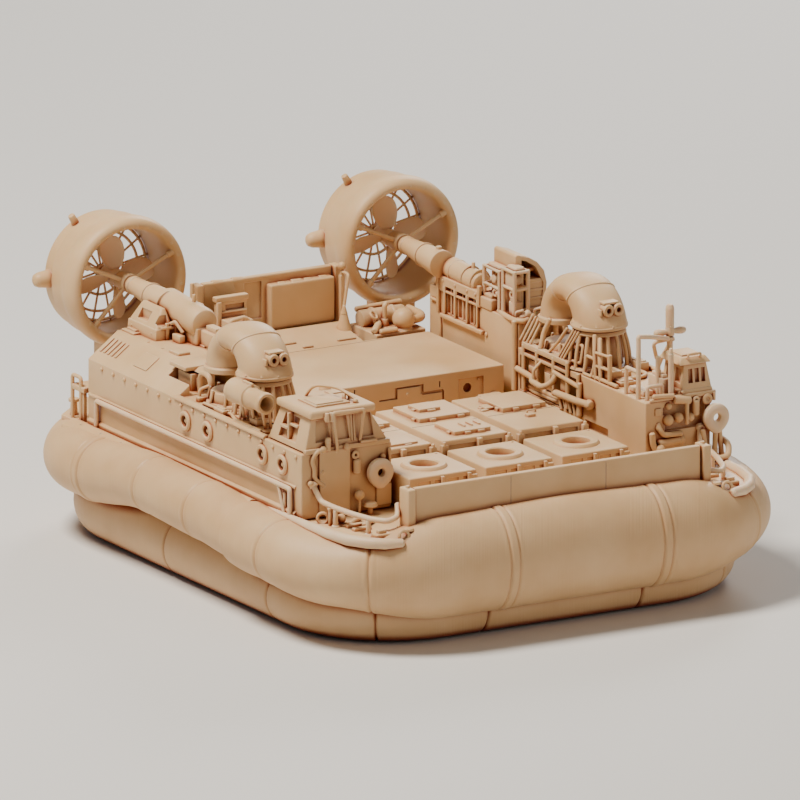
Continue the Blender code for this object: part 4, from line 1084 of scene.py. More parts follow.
for index, x in enumerate(well["modules"]):
    half = well["half"]
    form = bmesh.new()
    addWedge(form, (x - half, x + half, -79, -51.4), (x - half + 0.5, x + half - 0.5, -78.4, -51.6), 36.5, 48.2,
             0.7, 3)
    shell = toObject(form, "frontModule%d" % (index + 1))
    form = bmesh.new()
    addPost(form, x, -65.2, 46.6, 50, 5, 5, 0, 40)
    for shift, wide in ((-10, 5), (-3.4, 3), (1.6, 4.6), (8, 3.4)):
        addBox(form, (x + shift, -80, 43.6), (x + shift + wide, -78, 46.4), 0.2)
    carve(shell, form)
    form = bmesh.new()
    rim = [(5, 47.2), (5, 48.9), (5.5, 49.3), (7.4, 49.3), (8.1, 48.6), (8.3, 48), (8.3, 47.2)]
    addTurned(form, rim, Matrix.Translation((x, -65.2, 0)), 56, closed=True)
    for shift in (-1, 9.6):
        addBox(form, (x + shift, -79.6, 40), (x + shift + 1.2, -78.2, 47.6), 0.25)
    addBox(form, (x + 10.6, -79.7, 44.6), (x + 13.2, -78, 46.8), 0.3)
    addBolt(form, (x + 11.6, -53.4, 48.2), (0, 0, 1), 0.5, 0.4)
    carve(shell, form, "UNION")
    finishPiece(shell, ("front_module_%d" % (index + 1),), 34)

    form = bmesh.new()
    addWedge(form, (x - half, x + half, -48.6, -1), (x - half + 0.6, x + half - 0.6, -48.4, -1.2), 36.5, 46.6,
             0.5)
    addWedge(form, (x - half + 0.3, x + half - 0.3, -48.4, -1.2), (x - half + 0.8, x + half - 0.8, -47.8, -1.6),
             46.4, 50.4, 0.45, 3)
    shell = toObject(form, "rearModule%d" % (index + 1))
    form = bmesh.new()
    addBox(form, (x - 10.6, -50, 45.6), (x + 0.6, -47.4, 48.6), 0.2)
    addBox(form, (x + 2.2, -50, 45.6), (x + 10.6, -47.4, 48.6), 0.2)
    addBox(form, (x - 13, -27, 50.1), (x + 13, -26.6, 51.2), 0)
    carve(shell, form)
    form = bmesh.new()
    if index == 0:
        lids = ((-9.4, 9, -45.6, -30.4, 51.2), (-7, 11.4, -22, -6, 52), (-3, 5, -18, -9, 53))
    elif index == 1:
        lids = ((-5.8, 8.8, -43.6, -29.6, 51.9), (-7.9, 12.6, -23, -4.4, 52), (-4, 4.6, -16, -8, 53.2))
    else:
        lids = ((-6.4, 11, -25.4, -8.4, 52.2), (-10, -6.6, -20, -15, 51.4), (-3, 5.6, -6.6, -2.2, 51.2))
    for x0, x1, y0, y1, top in lids:
        addBox(form, (x + x0, y0, 50), (x + x1, y1, top), 0.35, 3)
        addBox(form, (x + x0 - 0.8, y0 + 2.4, 50), (x + x0 + 1.4, y0 + 4.4, top - 0.5), 0.3)
        addBox(form, (x + x1 - 1.4, y0 + 2.4, 50), (x + x1 + 0.8, y0 + 4.4, top - 0.5), 0.3)
        addBox(form, (x + x0 + 4, y0 - 0.8, 50), (x + x0 + 6.4, y0 + 1, top - 0.4), 0.3)
        addBox(form, (x + x1 - 5.4, y0 - 0.8, 50), (x + x1 - 2.6, y0 + 1, top - 0.4), 0.3)
    # ribs and lugs on the face towards the front modules
    addBox(form, (x + 0.5, -49.6, 38), (x + 2.3, -47.6, 50), 0.35)
    for shift in (-14.2, 11.8):
        addBox(form, (x + shift, -49.8, 38), (x + shift + 2.4, -47.8, 49.4), 0.5)
        addPost(form, x + shift + 1.2, -49, 49, 50.4, 0.8, 0.6)
    addBox(form, (x - 4.4, -50.4, 44.8), (x - 1.4, -48, 46), 0.3)
    addBox(form, (x + 4, -50.4, 44.8), (x + 7.4, -48, 46), 0.3)
    addBox(form, (x - 1.9, -35.2, 50), (x + 1.4, -32.8, 51.5), 0.3)
    addTube(form, [(x + 1, -29.6, 50.3), (x + 1, -29.6, 51.3), (x + 4.4, -29.6, 51.3), (x + 4.4, -29.6, 50.3)],
            0.3, 0.4, around=8)
    if index == 1:
        for shift in (0.4, 3.4, 6.4):
            addBox(form, (x + shift, -39.6, 51.6), (x + shift + 0.7, -35, 52.5), 0.2)
    for k in range(5):
        addBall(form, (x + 12.4, -42 + 9 * k, 50.2), 0.5, 0.8, 12)
    carve(shell, form, "UNION")
    finishPiece(shell, ("rear_module_%d" % (index + 1),), 34)
print("cargo well made")


# Ramps: a plate on a barrel hinge, with a thick rim and joint lines

ramps = {"bowHalf": 57.1, "bowY": -105.2, "bowHinge": (-104, 37.7), "sternHalf": 26, "sternY": 97,
         "sternHinge": (98.2, 37.7)}
form = bmesh.new()
half, y = ramps["bowHalf"], ramps["bowY"]
addBox(form, (-half, y, 38), (half, y + 2.4, 52.9), 0.75, 4)
shell = toObject(form, "bowRamp")
form = bmesh.new()
for x in (-19, 19):
    addBox(form, (x - 0.16, y - 1, 39), (x + 0.16, y + 0.16, 52.2), 0)
    addBox(form, (x - 0.16, y + 2.2, 39), (x + 0.16, y + 4, 52.2), 0)
carve(shell, form)
form = bmesh.new()
softDrum(form, (-half, *ramps["bowHinge"]), (half, *ramps["bowHinge"]), 1.1, 1.1, 0.2, 24)
for k in range(8):
    x = -49 + 14 * k
    addBox(form, (x - 2.4, y + 0.5, 37), (x + 2.4, y + 2.7, 40.4), 0.4)
    addBox(form, (x - 0.9, y + 2, 39.6), (x + 0.9, y + 3.4, 51.4), 0.35)
carve(shell, form, "UNION")
finishPiece(shell, ("bow_ramp",), 30, body="bow_ramp_body")

form = bmesh.new()
half, y = ramps["sternHalf"], ramps["sternY"]
addBox(form, (-half, y, 38), (half, y + 2.4, 75.4), 0.7, 4)
addBox(form, (-0.5, 93.6, 56), (25.4, 97.6, 72.2), 0.9, 4)
shell = toObject(form, "sternRamp")
form = bmesh.new()
for x in (-17, 0, 17):
    addBox(form, (x - 4.6, y + 1.9, 44), (x + 4.6, y + 4, 70), 0.4)
addBox(form, (-9.4, 95.6, 60), (-2.4, 97.9, 73.4), 0.3)
carve(shell, form)
form = bmesh.new()
softDrum(form, (-half, *ramps["sternHinge"]), (half, *ramps["sternHinge"]), 1.1, 1.1, 0.2, 24)
for x, wide, rise in ((3, 3.2, 0.5), (8.4, 4.4, 0.9), (13.6, 3, 0.6), (19.6, 3.4, 0.8)):
    softDrum(form, (x, 95.4, 71.4), (x + wide, 95.4, 71.4), 1 + rise * 0.5, 1 + rise * 0.4, 0.4, 20)
for x in (-22, -14):
    softDrum(form, (x, y + 1.2, 74.6), (x + 5, y + 1.2, 74.6), 1.3, 1.1, 0.4, 20)
for k in range(5):
    x = -20.8 + 10.4 * k
    addBox(form, (x - 1.6, y + 0.4, 37), (x + 1.6, y + 2.2, 40.6), 0.4)
carve(shell, form, "UNION")
finishPiece(shell, ("stern_ramp",), 30, body="stern_ramp_body")
print("ramps made")


# Stern furniture: framed locker, pump with bottles and ball, bollard and posts

form = bmesh.new()
addBox(form, (-24, 90.6, 36.5), (-12, 92.8, 70.4), 0.35)
addBox(form, (-24.6, 90.2, 69.6), (-11.4, 93, 71.6), 0.5, 3)
addBox(form, (-24.4, 89.4, 40), (-22.6, 91, 70), 0.4)
addBox(form, (-23, 84, 36.5), (-13, 91, 64), 0.5)
shell = toObject(form, "sternLocker")
form = bmesh.new()
addBox(form, (-20.6, 88, 66.6), (-13, 91.6, 68.6), 0.2)
addBox(form, (-21.4, 82, 54), (-17.6, 86, 62.6), 0.2)
addBox(form, (-16.4, 82, 54), (-14, 86, 60.6), 0.2)
carve(shell, form)
form = bmesh.new()
addTube(form, [(-22.6, 83.6, 52), (-22.6, 83.6, 64.6), (-17, 83.4, 65.4), (-13.2, 83.8, 61.6),
               (-13.2, 83.8, 50)], 0.75, 1.2)
addTube(form, [(-17, 83.4, 65.2), (-17, 83.6, 50)], 0.55)
addTube(form, [(-22.6, 90.4, 66), (-12.4, 90.4, 66)], 0.45)
carve(shell, form, "UNION")
finishPiece(shell, ("stern_locker",), 34)

form = bmesh.new()
sideBox(form, 1, 32, 52, 76, 95, 36.5, 54, 0.6, 3)
softDrum(form, (33, 90, 56.2), (51, 90, 56.2), 3.4, 3.4, 0.8, 28)
softDrum(form, (37.6, 90, 56.2), (38.8, 90, 56.2), 3.8, 3.8, 0.2, 28)
softDrum(form, (45.6, 90, 56.2), (46.8, 90, 56.2), 3.8, 3.8, 0.2, 28)
addBall(form, (45, 79.6, 57.4), 4, 1, 24)
addPost(form, 45, 79.6, 53.6, 55, 3.6, 2.8)
addTube(form, [(48.4, 79.6, 56.6), (52.6, 80.4, 56.6), (54.6, 84, 56.8), (54.6, 93, 56.8)], 1.5, 2.4, around=14)
addTube(form, [(32.4, 78, 55), (37.4, 84, 55.4), (38, 87, 56)], 1.3, 2, around=14)
addTube(form, [(34, 76.6, 54.8), (40.4, 76.6, 54.8)], 1, around=12)
addTube(form, [(41, 86, 54), (41, 86, 61.2), (42.2, 86.6, 62)], 0.9, 1)
addPost(form, 41, 86, 54, 56.6, 1.7, 1.3)
addTube(form, [(34, 94, 59), (52, 94, 59.6)], 1, around=12)
for x in (36, 49):
    addPost(form, x, 94, 53.6, 59.2, 0.8)
addRing(form, (36, 85, 58.6), (0.4, -0.6, 0.7), 1.5, 0.5, 24, 8)
addPost(form, 24.6, 86, 51.4, 61, 3.4, 1.2, 0.5, 28)
addPost(form, 24.6, 86, 60.4, 63.4, 1.3, 0.5, 0.3, 20)
addPost(form, 24.6, 86, 51.4, 53, 4, 3.8, 0.4, 28)
addBox(form, (26.4, 91.4, 51.2), (28.2, 93.2, 72.8), 0.35)
addPost(form, 27.3, 92.2, 72.4, 75, 0.8, 0.6)
addBall(form, (27.3, 92.2, 76), 1.5, 1, 18)
addTube(form, [(27.3, 92, 74), (27.3, 87.4, 74), (24.8, 86.4, 62.8)], 0.6, 1.4)
addBox(form, (27.8, 88.6, 45), (33, 93.6, 51), 0.5)
finishForm(form, "sternPumpAndBottles", ("stern_bottles",), 34)
form = bmesh.new()
addPost(form, -33.3, 92, 36.2, 77.8, 0.9, 0.7, 0.3, 16)
addPost(form, -33.3, 92, 36.2, 40, 2.4, 1.8, 0.5, 20)
addWedge(form, (-40, -28.6, 82, 98), (-38, -29.4, 84, 96), 36.2, 61, 0.6, 3)
addBox(form, (-39, 85.6, 60.6), (-31, 94.6, 62.2), 0.4)
addTube(form, [(-37, 82.6, 58), (-37, 80.6, 50), (-37, 80.6, 36.8)], 0.7, 1.4)
finishForm(form, "sternAirBoxes")
print("stern furniture made")


# Shaft housings, intake hood, aft house, exhaust tube and fenders

for sideName, side in sides:
    form = bmesh.new()
    x = side * 55.05
    softDrum(form, (x, 96.3, 79.4), (x, 70, 78), 2.9, 5, 0.3, 36)
    softDrum(form, (x, 95.2, 79.35), (x, 93.6, 79.25), 3.3, 3.4, 0.3, 36)
    softDrum(form, (x, 82.6, 78.7), (x, 81.6, 78.65), 4.4, 4.5, 0.2, 36)
    if side > 0:
        # low casing on the wall with slots through its edge, and a round hump behind it
        shell = toObject(form, "portShaftHousing")
        form = bmesh.new()
        sideBox(form, side, 54.9, 62, 45, 72, 68.4, 73.8, 0.6, 3)
        carve(shell, form, "UNION")
        form = bmesh.new()
        for y0, y1 in ((45.9, 51.4), (53.4, 59.7), (62, 67.4)):
            sideBox(form, side, 53, 56.6, y0, y1, 60, 70.6, 0.2)
        sideBox(form, side, 56.8, 58.4, 47, 70.6, 72.4, 75, 0.2)
        carve(shell, form)
        form = bmesh.new()
        softDrum(form, (59.2, 71.4, 76.2), (59.2, 49, 75), 4, 3.9, 1.4, 36)
        for y in (67, 58, 51.6):
            softDrum(form, (59.2, y, 75.9), (59.2, y - 1, 75.8), 4.25, 4.25, 0.2, 36)
        for box in (
                (55.3, 60.4, 36.4, 46, 68.4, 72.6, 0.8, 3), (56.4, 59.6, 38, 43.4, 72.2, 73.8, 0.5),
                (54.7, 56, 43.8, 45.4, 68.4, 76, 0.3), (54.5, 56.1, 71.8, 73.6, 60, 84, 0.3)):
            sideBox(form, side, *box)
        for y in (46.6, 52.4, 60.8, 69.4):
            addBolt(form, (54.9, y, 72.4), (-1, 0, 0), 0.6, 0.4)
        addPost(form, 59.6, 56, 78.6, 81.4, 0.8, 0.6, 0.2, 14)
        addTube(form, [(61.8, 50, 74.6), (63.4, 50, 76.4), (63.4, 60, 76.8), (61.4, 66, 76.4)], 0.7, 1.4)
        carve(shell, form, "UNION")
        finishPiece(shell, ("port_shaft_housing",), 34)
        continue
    softDrum(form, (x + 1.5, 75, 77.4), (x + 1.5, 47, 76), 5.8, 5.4, 1.8, 40)
    for box in (
            (48.9, 57.3, 46.6, 73.4, 68.4, 75, 1, 3), (50.2, 56, 52, 66, 75.6, 81.8, 1.8, 4),
            (50.2, 55.6, 36.2, 47.4, 68.4, 74.6, 1.2, 3), (51.4, 54.5, 38, 45, 74.4, 76.4, 0.6)):
        sideBox(form, side, *box)
    addPost(form, -53, 56, 80, 84.6, 0.8, 0.6, 0.2, 14)
    for y in (49, 60, 71):
        sideBox(form, side, 48.7, 57.5, y, y + 1.2, 68.4, 76, 0.5)
    addTube(form, [(-50, 46, 70.2), (-50, 39, 70.2), (-50, 36, 72.4), (-52.4, 35.4, 74.4)], 0.8, 1.6)
    for y in (52, 56, 64, 68):
        addBall(form, (-48.9, y, 73), 0.55)
    finishForm(form, sideName + "ShaftHousing", (sideName + "_shaft_housing",), 34)

# small house on the aft starboard roof, with windows in its leaning walls
form = bmesh.new()
addWedge(form, (-66.4, -57.8, 59.5, 79.6), (-66.1, -57.8, 59.7, 79.4), 68.4, 72.6, 0.5, 3)
addWedge(form, (-66, -58.6, 59.9, 79.3), (-61.8, -60.2, 63.4, 76.8), 72.2, 79, 1.1, 4)
shell = toObject(form, "starboardAftHouse")
form = bmesh.new()
addBox(form, (-68, 67.6, 73.6), (-62.8, 74.6, 77), 0.2)
addBox(form, (-64.8, 58, 73.4), (-60.6, 62.6, 76.8), 0.2)
addBox(form, (-61.2, 58, 69.4), (-58.8, 60.8, 72), 0.2)
carve(shell, form)
form = bmesh.new()
addBox(form, (-58.9, 58.7, 68.6), (-57.5, 60.3, 75.6), 0.3)
addBox(form, (-62.4, 58.8, 68.6), (-61.2, 60, 74.6), 0.3)
addTube(form, [(-64.2, 59.3, 73), (-60, 59.1, 73)], 0.6, around=8)
addTube(form, [(-60.8, 60.6, 73.4), (-59.6, 57.4, 75.4), (-58.4, 54, 72)], 0.7, 1)
addBox(form, (-61, 52, 68.6), (-58.6, 57.4, 71.4), 0.5)
addBall(form, (-65.9, 76.6, 70.6), 0.6)
addBall(form, (-65.9, 62.8, 70.6), 0.6)
carve(shell, form, "UNION")
finishPiece(shell, ("starboard_aft_house",), 34)

form = bmesh.new()
hoodLine = [(60.5, 68.2), (72.5, 66.6), (73.5, 78.5), (72.4, 83), (69.5, 86.5), (66, 88.6), (61.5, 90),
            (60.5, 89.5)]
addPrism(form, hoodLine, "Y", 28.5, 43.5, 0.7, 3)
shell = toObject(form, "portIntake")
form = bmesh.new()
addPrism(form, [(63, 70), (71.2, 70), (72, 78.5), (68.8, 84.8), (64.8, 87.4), (63, 87.8)], "Y", 26, 38)
carve(shell, form)
form = bmesh.new()
addBox(form, (65.4, 29, 68.4), (72.4, 40, 79.4), 0.5, 3)
addBox(form, (65, 28.8, 79), (72.4, 38, 80.4), 0.3)
addPost(form, 63.8, 30, 70, 84, 0.8, 0.8, 0.2, 16)
softDrum(form, (64.2, 32, 82.6), (70, 32, 83.4), 1.2, 0.9, 0.3, 18)
addBox(form, (60, 27.9, 68.4), (73.2, 29.3, 70.4), 0.4)
addBox(form, (60, 42.8, 68.4), (62, 44.2, 84), 0.4)
for z in (73, 76):
    addBox(form, (65.2, 28.6, z), (71.8, 29.6, z + 0.9), 0.25)
carve(shell, form, "UNION")
finishPiece(shell, ("port_intake",), 30)

tube = {"x": -80.6, "z": 71.8}
form = bmesh.new()
x, z = tube["x"], tube["z"]
wall = [(4, 20.6), (4.4, 20.9), (4.4, 22.2), (4.2, 22.5), (4.2, 31.4), (4.4, 31.7), (4.4, 32.8), (3.7, 33.2),
        (3.5, 33.8),
        (3.5, 40.4), (3.8, 40.8), (3.8, 43.2), (3.5, 43.6), (2.7, 43.6), (2.35, 43), (2.3, 30), (0, 30),
        (0, 20.6)]
addTurned(form, wall, aimAft(x, z, bow=True), 40)
for y in (-38.6, -31, -24):
    addTube(form, [(x + 0.8, y, z - 3), (x + 3.6, y + 2, 59.8)], 0.55, around=8)
    addTube(form, [(x + 3.6, y, z - 2.4), (x + 5.2, y + 1.4, 59.8)], 0.55, around=8)
addBox(form, (x + 1, -40, 59.9), (x + 7.4, -22, 61), 0.3)
addBox(form, (x - 0.4, -33.4, z + 3.8), (x + 0.6, -27, z + 5), 0.25)
finishForm(form, "starboardExhaustTube", ("starboard_exhaust_tube",), 40)

for name, x, y, z in (("starboard", -52, -72.2, 50.4), ("port", 82.6, -72.2, 52)):
    form = bmesh.new()
    profile = [(1.5, -1.1), (2.4, -1.7), (3.9, -1.7), (4.8, -1), (5, 0), (4.8, 1), (3.9, 1.7), (2.4, 1.7),
               (1.5, 1.1)]
    addTurned(form, profile, aim((x, y, z), (0, -1, 0)), 48, closed=True)
    for vert in form.verts:
        flat = Vector((vert.co.x - x, vert.co.z - z))
        low = max(0, -flat.y / flat.length) if flat.length > 2 else 0
        vert.co.z -= 0.9 * low ** 6
    # pads between the ring and the wall behind it
    addBox(form, (x - 1.4, y + 0.8, z + 1.8), (x + 1.4, y + 2.7, z + 3.8), 0.3)
    finishForm(form, name + "Fender", (name + "_fender",), 40, material=thinResin)
print("housings and fenders made")


# Port deckhouse: machinery on its inboard wall, ladders by the thruster, framed towers, and pipes
# on the bow wall

form = bmesh.new()


def strut(points, radius=0.8, bend=0, around=10):
    addTube(form, points, radius, bend, around=around)


def wallBox(x0, x1, y0, y1, z0, z1, edge=0.3):
    addBox(form, (x0, y0, z0), (x1, y1, z1), edge)


strut([(55, 19.4, 44.4), (55, 19.4, 69)], 1.1)
strut([(57.7, 34.8, 68.9), (56.4, 27.6, 68.7), (55.2, 19.6, 69.2), (57.4, 16.6, 69.2), (63.6, 21.4, 69.4)], 1,
      2.2)
wallBox(54.6, 57, -17.4, 14, 61, 63)
wallBox(54.8, 56.2, -17.4, 13.8, 58.2, 59.4)
for y, z0, z1 in ((13.3, 46, 62), (4, 52, 62), (-7.5, 52.6, 62), (-17, 46, 62.4), (-24.6, 44.8, 60)):
    strut([(55.2, y, z0), (55.2, y, z1)], 0.85)
strut([(55, 17.7, 52.4), (54, 5.2, 52), (51.7, 2, 51.8), (51.7, -5, 51.2), (53.4, -8.4, 53),
       (55.4, -9.4, 56.6)], 1.1, 1.6)
strut([(51.9, 1, 51.8), (51.9, 1, 56), (55, 1, 58.6)], 0.6, 0.8)
strut([(55, -8, 57), (54.8, -26, 55.6)], 0.9)
strut([(55, -25.9, 45.6), (55, -25.9, 57)], 1)
strut([(54.8, -8.5, 49.8), (54.4, -24.6, 50.4), (54.2, -33.4, 51.2)], 1.3, 1, 14)
softDrum(form, (54.2, -33, 51.2), (54.1, -35.4, 51.4), 1.9, 1.5, 0.5, 20)
for k in range(5):
    strut([(55, -11.6 - 3.2 * k, 49.4), (55.3, -12.8 - 3.2 * k, 44.8)], 0.65)
for k in range(3):
    wallBox(56.6, 60.6, 6.2 - 11 * k, 12.6 - 11 * k, 48.6, 56.8, 0.5)
    wallBox(55.9, 57.2, 7.4 - 11 * k, 11.4 - 11 * k, 50.4, 55, 0.3)
strut([(57.4, 16.6, 47), (57.4, -24.8, 47)], 1)
strut([(58, 16.6, 45.8), (56.6, 8, 45.8), (56.6, -12, 45.8), (58.4, -16, 47), (58.4, -24.8, 49)], 0.7, 1.2)
wallBox(54.9, 56.2, -12, 17.4, 43.2, 44.6)
strut([(54.9, 16.4, 42.4), (54.9, -14, 40)], 0.6)
# ladders up to the horn's mouth and to the turntable
for k in range(4):
    strut([(55.4, 16.2 - 2.3 * k, 63), (59.6, 14.8 - 2.3 * k, 71.6)], 0.5, 0, 8)
for k in range(3):
    strut([(55.3, -10.6 - 1.7 * k, 63), (57.9, -16.9 - 1.7 * k, 74)], 0.5, 0, 8)
strut([(55.6, 2.6, 63), (57.2, 2.6, 69), (58.6, 0.8, 73.6)], 0.9, 1.6)
strut([(55.6, -3.4, 63), (56.8, -8, 67.8), (57.6, -12.6, 73.4)], 0.6, 1)
frameRun = [(57.2, -12.6, 62.6), (58.2, -12.6, 68.2), (58.2, -22.6, 69.4), (57.2, -22.6, 63.2)]
addTube(form, frameRun, 0.6, 0.8, closed=True, around=8)
wallBox(58, 62, -20.8, -14, 60, 66.4, 0.4)
frameRun = [(56.6, -25.6, 60.4), (57.8, -25.6, 66.6), (57.8, -31.4, 66.6), (56.6, -31.4, 60.4)]
addTube(form, frameRun, 0.6, 0.8, closed=True, around=8)
strut([(57, -33.6, 60), (57.2, -32.2, 68), (58.8, -29.4, 74.6)], 0.8, 3)
strut([(57, -37, 60), (57.4, -35.6, 67), (60, -31, 73.6)], 0.8, 3)
for z in (64.6, 69.4):
    strut([(57.2, -33, z), (57.6, -42.6, z + 0.4)], 0.55)
strut([(57.2, -42.6, 59.8), (57.2, -42.6, 70.6)], 0.8)
wallBox(58.2, 62.6, -42, -36, 60, 64.4, 0.4)
finishForm(form, "portWallMachinery", (), 40)

form = bmesh.new()
# framed towers on the roof edge
for x0, y0, y1, z1 in ((57.2, 33.6, 44.2, 83.6), (57.4, 23.6, 31.4, 85.4)):
    for x in (x0, x0 + 5.4):
        for y in (y0, y1):
            addTube(form, [(x, y, 68.4), (x, y, z1)], 0.75, around=10)
    for z in (z1 - 0.4, z1 - 6.6):
        addTube(form, [(x0, y0, z), (x0 + 5.4, y0, z), (x0 + 5.4, y1, z), (x0, y1, z)], 0.65, 0.8, closed=True,
                around=8)
    addBox(form, (x0 + 0.8, y0 + 0.8, z1 - 1.4), (x0 + 4.8, y1 - 0.8, z1 + 1.2), 0.9, 3)
    addBox(form, (x0 + 1.2, y0 + 1.6, 68.4), (x0 + 4.6, y1 - 1.6, 73.6), 0.5, 3)
    softDrum(form, (x0 + 0.4, (y0 + y1) / 2, z1 - 4.2), (x0 + 4.6, (y0 + y1) / 2, z1 - 4.2), 1.6, 1.6, 0.4, 24)
    addBall(form, (x0 + 0.8, y0 + 2, 75), 1.2)
    addRing(form, (x0 + 0.2, (y0 + y1) / 2 - 2.4, z1 - 8.6), (-1, -0.4, 0), 1.1, 0.45, 24, 8)
addBox(form, (57.6, 24.6, 79), (58.8, 30.6, 85), 0.4)
softDrum(form, (58.6, 20.4, 69), (60.6, 18.6, 72), 1.5, 1.2, 0.5, 18)
addBox(form, (56.4, 47, 68.4), (60.4, 52.4, 70.4), 0.5)
addTube(form, [(56.2, 72, 71.2), (56.2, 46, 71.6)], 0.7)
for x in (57, 64.4):
    addTube(form, [(x, 22, 68.6), (x, 22, 71.4), (x + 1.2, 19, 72.6)], 0.5, 1, around=8)
finishForm(form, "portRoofTowers", (), 40, material=thinResin)

form = bmesh.new()
# louvre slats and the ledge under them on both inboard walls
for sideName, side in sides:
    if side < 0:
        for y0, y1 in ((47.9, 54), (55.2, 61.3), (62.5, 68.4)):
            addSlats(form, side, 56.9, y0, 61.6, 0.5, y1 - y0, 5.8, 3)
    for y in (45.4, 52.4, 60.8, 68):
        sideBox(form, side, 54.6, 55.6, y - 0.5, y + 0.5, 60.6, 68 if side < 0 else 70.8, 0.3)
    if side > 0:
        for y0, y1 in ((45.9, 51.4), (53.4, 59.7), (62, 67.4)):
            addTube(form, [(55.9, (y0 + y1) / 2, 61), (55.9, (y0 + y1) / 2, 70.4)], 0.4, around=8)
    sideBox(form, side, 54.2, 56.2, 41.4, 70.6, 58.9, 60.5, 0.5)
    addBolt(form, (side * 55.7, 40, 59.4), (-side, 0, 0), 0.9, 0.6)
    sideBox(form, side, 54.9, 56, 43.6, 71.4, 68.2, 69.2, 0.4)
    sideTube(form, side, [(55.3, 78, 64), (55.3, 73, 64), (55.3, 71.4, 56), (55.3, 71.4, 37)], 0.6, 1.2)
    sideBox(form, side, 54.6, 56.2, 75.4, 79.4, 40, 48, 0.4)
finishForm(form, "inboardLouvres", (), 40)

form = bmesh.new()
# bow wall of the port deckhouse
y = -70.3
strut([(67, y, 60), (73, y, 58.9)], 1.5, 0, 14)
strut([(71.7, y - 0.6, 59.4), (71.7, y - 0.6, 50.8)], 0.75)
for x, z, r in ((64.7, 57.8, 1.25), (64.5, 52.8, 2), (68.7, 53.2, 1.8), (73.4, 52.8, 1.6), (60.6, 50.4, 1.1)):
    addBall(form, (x, y + 0.2, z), r, 1, 18)
addRing(form, (80.2, y, 58.4), (0, -1, 0), 1.3, 0.75, 28, 10)
softDrum(form, (80.2, y + 1.4, 58.4), (80.2, y - 0.2, 58.4), 1)
strut([(75.5, y, 58.4), (75.5, y, 53.6)], 1.35, 0, 14)
addRing(form, (75.5, y - 0.4, 58.8), (0, -1, 0), 0.9, 0.5, 24, 8)
wallBox(82.4, 83.4, y - 0.6, y + 1.2, 57.6, 60.6, 0.4)
wallBox(59.4, 61.8, y, y + 1, 54.8, 57.4, 0.25)
strut([(60.8, y + 0.8, 51.6), (60.8, y - 0.4, 50), (62.2, y - 0.6, 47.9), (69.4, y - 0.6, 47.6)], 1, 1.2, 12)
strut([(60.6, y, 44.8), (69.2, y, 45.2)], 1.6, 0, 14)
softDrum(form, (69, y, 45.2), (70.6, y, 45.3), 1.9, 1.7, 0.4, 20)
strut([(57.6, y - 0.8, 49), (57.9, y - 0.8, 45), (60.4, y - 1.4, 40)], 1.1, 1.4, 12)
wallBox(57.4, 66.4, y - 0.4, y + 1, 60, 61, 0.3)
strut([(58.2, y - 0.6, 62.2), (66.2, y - 0.6, 61.6)], 0.8)
# three legs that carry the port fender, and a hoop in front of them
for low, high in (((81, 37), (79.4, 48)), ((84, 37), (84.6, 47.4)), ((87, 37.4), (86, 48.6))):
    strut([(low[0] - 2, y - 2, low[1]), (high[0] - 2, y - 1.6, high[1])], 0.95)
strut([(86.2, -70.4, 43.4), (86.4, -74.6, 42.4), (84.4, -77.8, 38.8), (77.6, -77.4, 38.6), (75.2, -74, 40.4)],
      1.1, 2, 12)
finishForm(form, "portBowMachinery", (), 40)
print("port machinery made")


# Mast on the port roof, and the radar bar that turns on it

mast = {"x": 78.2, "y": -48, "foot": 76.3, "top": 87.7}
form = bmesh.new()
x, y = mast["x"], mast["y"]
strut([(x, y, 60), (x, y, 75.7)], 1.1, 0, 14)
addPost(form, x, y, 74.4, 76, 1.8, 1.6, 0.4, 24)
addPost(form, x, y, 59.8, 61.4, 2.2, 1.8, 0.5, 24)
for dx, dy in ((-2.2, 7), (1.8, 6), (-3, -2.4)):
    strut([(x + dx, y + dy, 60), (x + dx * 0.5, y + dy * 0.5, 68), (x, y, 73.4)], 0.75, 5)
strut([(x - 3.6, y + 3, 68), (x - 6.4, y + 0.6, 74.4), (x - 1, y, 75)], 0.7, 2)
strut([(x - 13, y - 14, 60), (x - 13, y - 14, 73.6)], 0.9)
strut([(56.6, -63.3, 59.6), (56.6, -63.3, 82.2), (63, -60, 80.6), (x - 1.4, y - 1.2, 75.6)], 0.85, 0.8)
strut([(56.6, -55, 59.6), (56.6, -55, 69.4), (56.6, -63.3, 69.4)], 0.75, 0.8)
strut([(58.4, -66.4, 59.6), (58.4, -66.4, 64.6), (64.4, -66.4, 64.6), (64.4, -66.4, 59.6)], 0.7, 0.8)
strut([(67, -67.8, 60), (67, -67.8, 75.6)], 1, 0, 12)
addPost(form, 67, -67.8, 75, 77.8, 0.75, 0.6, 0.3, 14)
wallBox(65, 68.4, -66, -55.4, 59.8, 66.4, 0.6)
wallBox(65.6, 67.6, -64.6, -57, 66.2, 67.6, 0.4)
wallBox(59.4, 63.4, -62, -52, 59.8, 61.8, 0.4)
finishForm(form, "portMast", ("port_mast",), 40, material=thinResin)

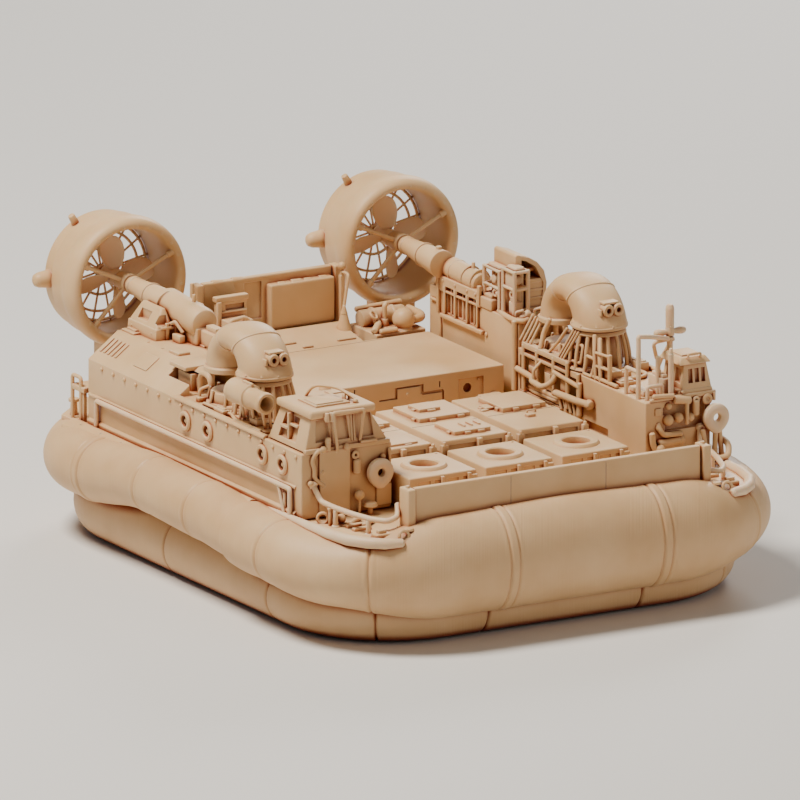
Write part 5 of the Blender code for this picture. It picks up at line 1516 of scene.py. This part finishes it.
form = bmesh.new()
foot = mast["foot"]
addPost(form, x, y, foot, foot + 2.9, 1.6, 1.6, 0.3, 28)
blade = [(-6.2, 0.7), (-5.7, 1.15), (-4.6, 1.35), (-3, 1.2), (-1.6, 0.9), (1.6, 0.9), (3, 1.2), (4.6, 1.35),
         (5.7, 1.15), (6.2, 0.7)]
addTurned(form, [(0, -6.4)] + [(r, s) for s, r in blade] + [(0, 6.4)], aim((x, y, foot + 1.45), (1, 0, 0)), 24)
cap = [(0, foot + 2.6), (1.5, foot + 2.6), (1.55, foot + 9.4), (1.4, foot + 10.5), (0.95, foot + 11.2),
       (0, mast["top"])]
addTurned(form, cap, Matrix.Translation((x, y, 0)), 28)
softDrum(form, (x - 0.6, y - 1.5, foot + 3.4), (x - 0.6, y - 1.9, foot + 3.4), 0.5, 0.5, 0.1, 14)
finishForm(form, "radarBar", ("radar_bar",), 40, material=thinResin, body="radar")
print("mast and radar made")


# Floor, light and camera

stage = {"floorHex": "#DCD8D2", "floorSize": 60, "lens": 1500, "distance": 11.61, "target": (4.75, 12.4, 52.4),
         "azimuth": -30, "elevation": 15}
floorMaterial = bpy.data.materials.new("matt_paper_sweep")
floorMaterial.use_nodes = True
floorShader = floorMaterial.node_tree.nodes["Principled BSDF"]
floorShader.inputs["Base Color"].default_value = toLinear(stage["floorHex"])
floorShader.inputs["Roughness"].default_value = 0.9
half = stage["floorSize"] / 2
floorMesh = bpy.data.meshes.new("floor")
floorMesh.from_pydata([(-half, -half, 0), (half, -half, 0), (half, half, 0), (-half, half, 0)], [],
                      [(0, 1, 2, 3)])
floor = bpy.data.objects.new("floor", floorMesh)
floor.data.materials.append(floorMaterial)
bpy.context.scene.collection.objects.link(floor)


def addLight(name, place, target, size, power, colourHex):
    light = bpy.data.lights.new(name, "AREA")
    light.shape = "DISK"
    light.size = size
    light.energy = power
    light.color = toLinear(colourHex)[:3]
    lamp = bpy.data.objects.new(name, light)
    lamp.location = place
    lamp.rotation_euler = (Vector(target) - Vector(place)).to_track_quat("-Z", "Y").to_euler()
    bpy.context.scene.collection.objects.link(lamp)


addLight("keyLight", (-0.58, 0.12, 1.28), (0, 0, 0.04), 0.42, 29, "#FFFAF2")
addLight("rimLight", (0.9, 0.9, 0.7), (0, 0, 0.04), 0.5, 9, "#FFFFFF")
addLight("fillLight", (0.5, -1.1, 0.45), (0, 0, 0.04), 0.9, 2.4, "#FFF2E4")


world = bpy.data.worlds.new("studioAir")
bpy.context.scene.world = world
world.use_nodes = True
world.node_tree.nodes["Background"].inputs["Color"].default_value = toLinear("#F3F1EE")
world.node_tree.nodes["Background"].inputs["Strength"].default_value = 0.22

azimuth, elevation = math.radians(stage["azimuth"]), math.radians(stage["elevation"])
back = Vector((math.sin(azimuth) * math.cos(elevation), -math.cos(azimuth) * math.cos(elevation),
               math.sin(elevation)))
camera = bpy.data.cameras.new("camera")
camera.lens = stage["lens"]
camera.sensor_width = 36
camera.clip_start = 1
camera.clip_end = 100
view = bpy.data.objects.new("camera", camera)
view.location = Vector(stage["target"]) * mm + back * stage["distance"]
view.rotation_euler = back.to_track_quat("Z", "Y").to_euler()
bpy.context.scene.collection.objects.link(view)
bpy.context.scene.camera = view
print("stage made")

bpy.context.view_layer.update()
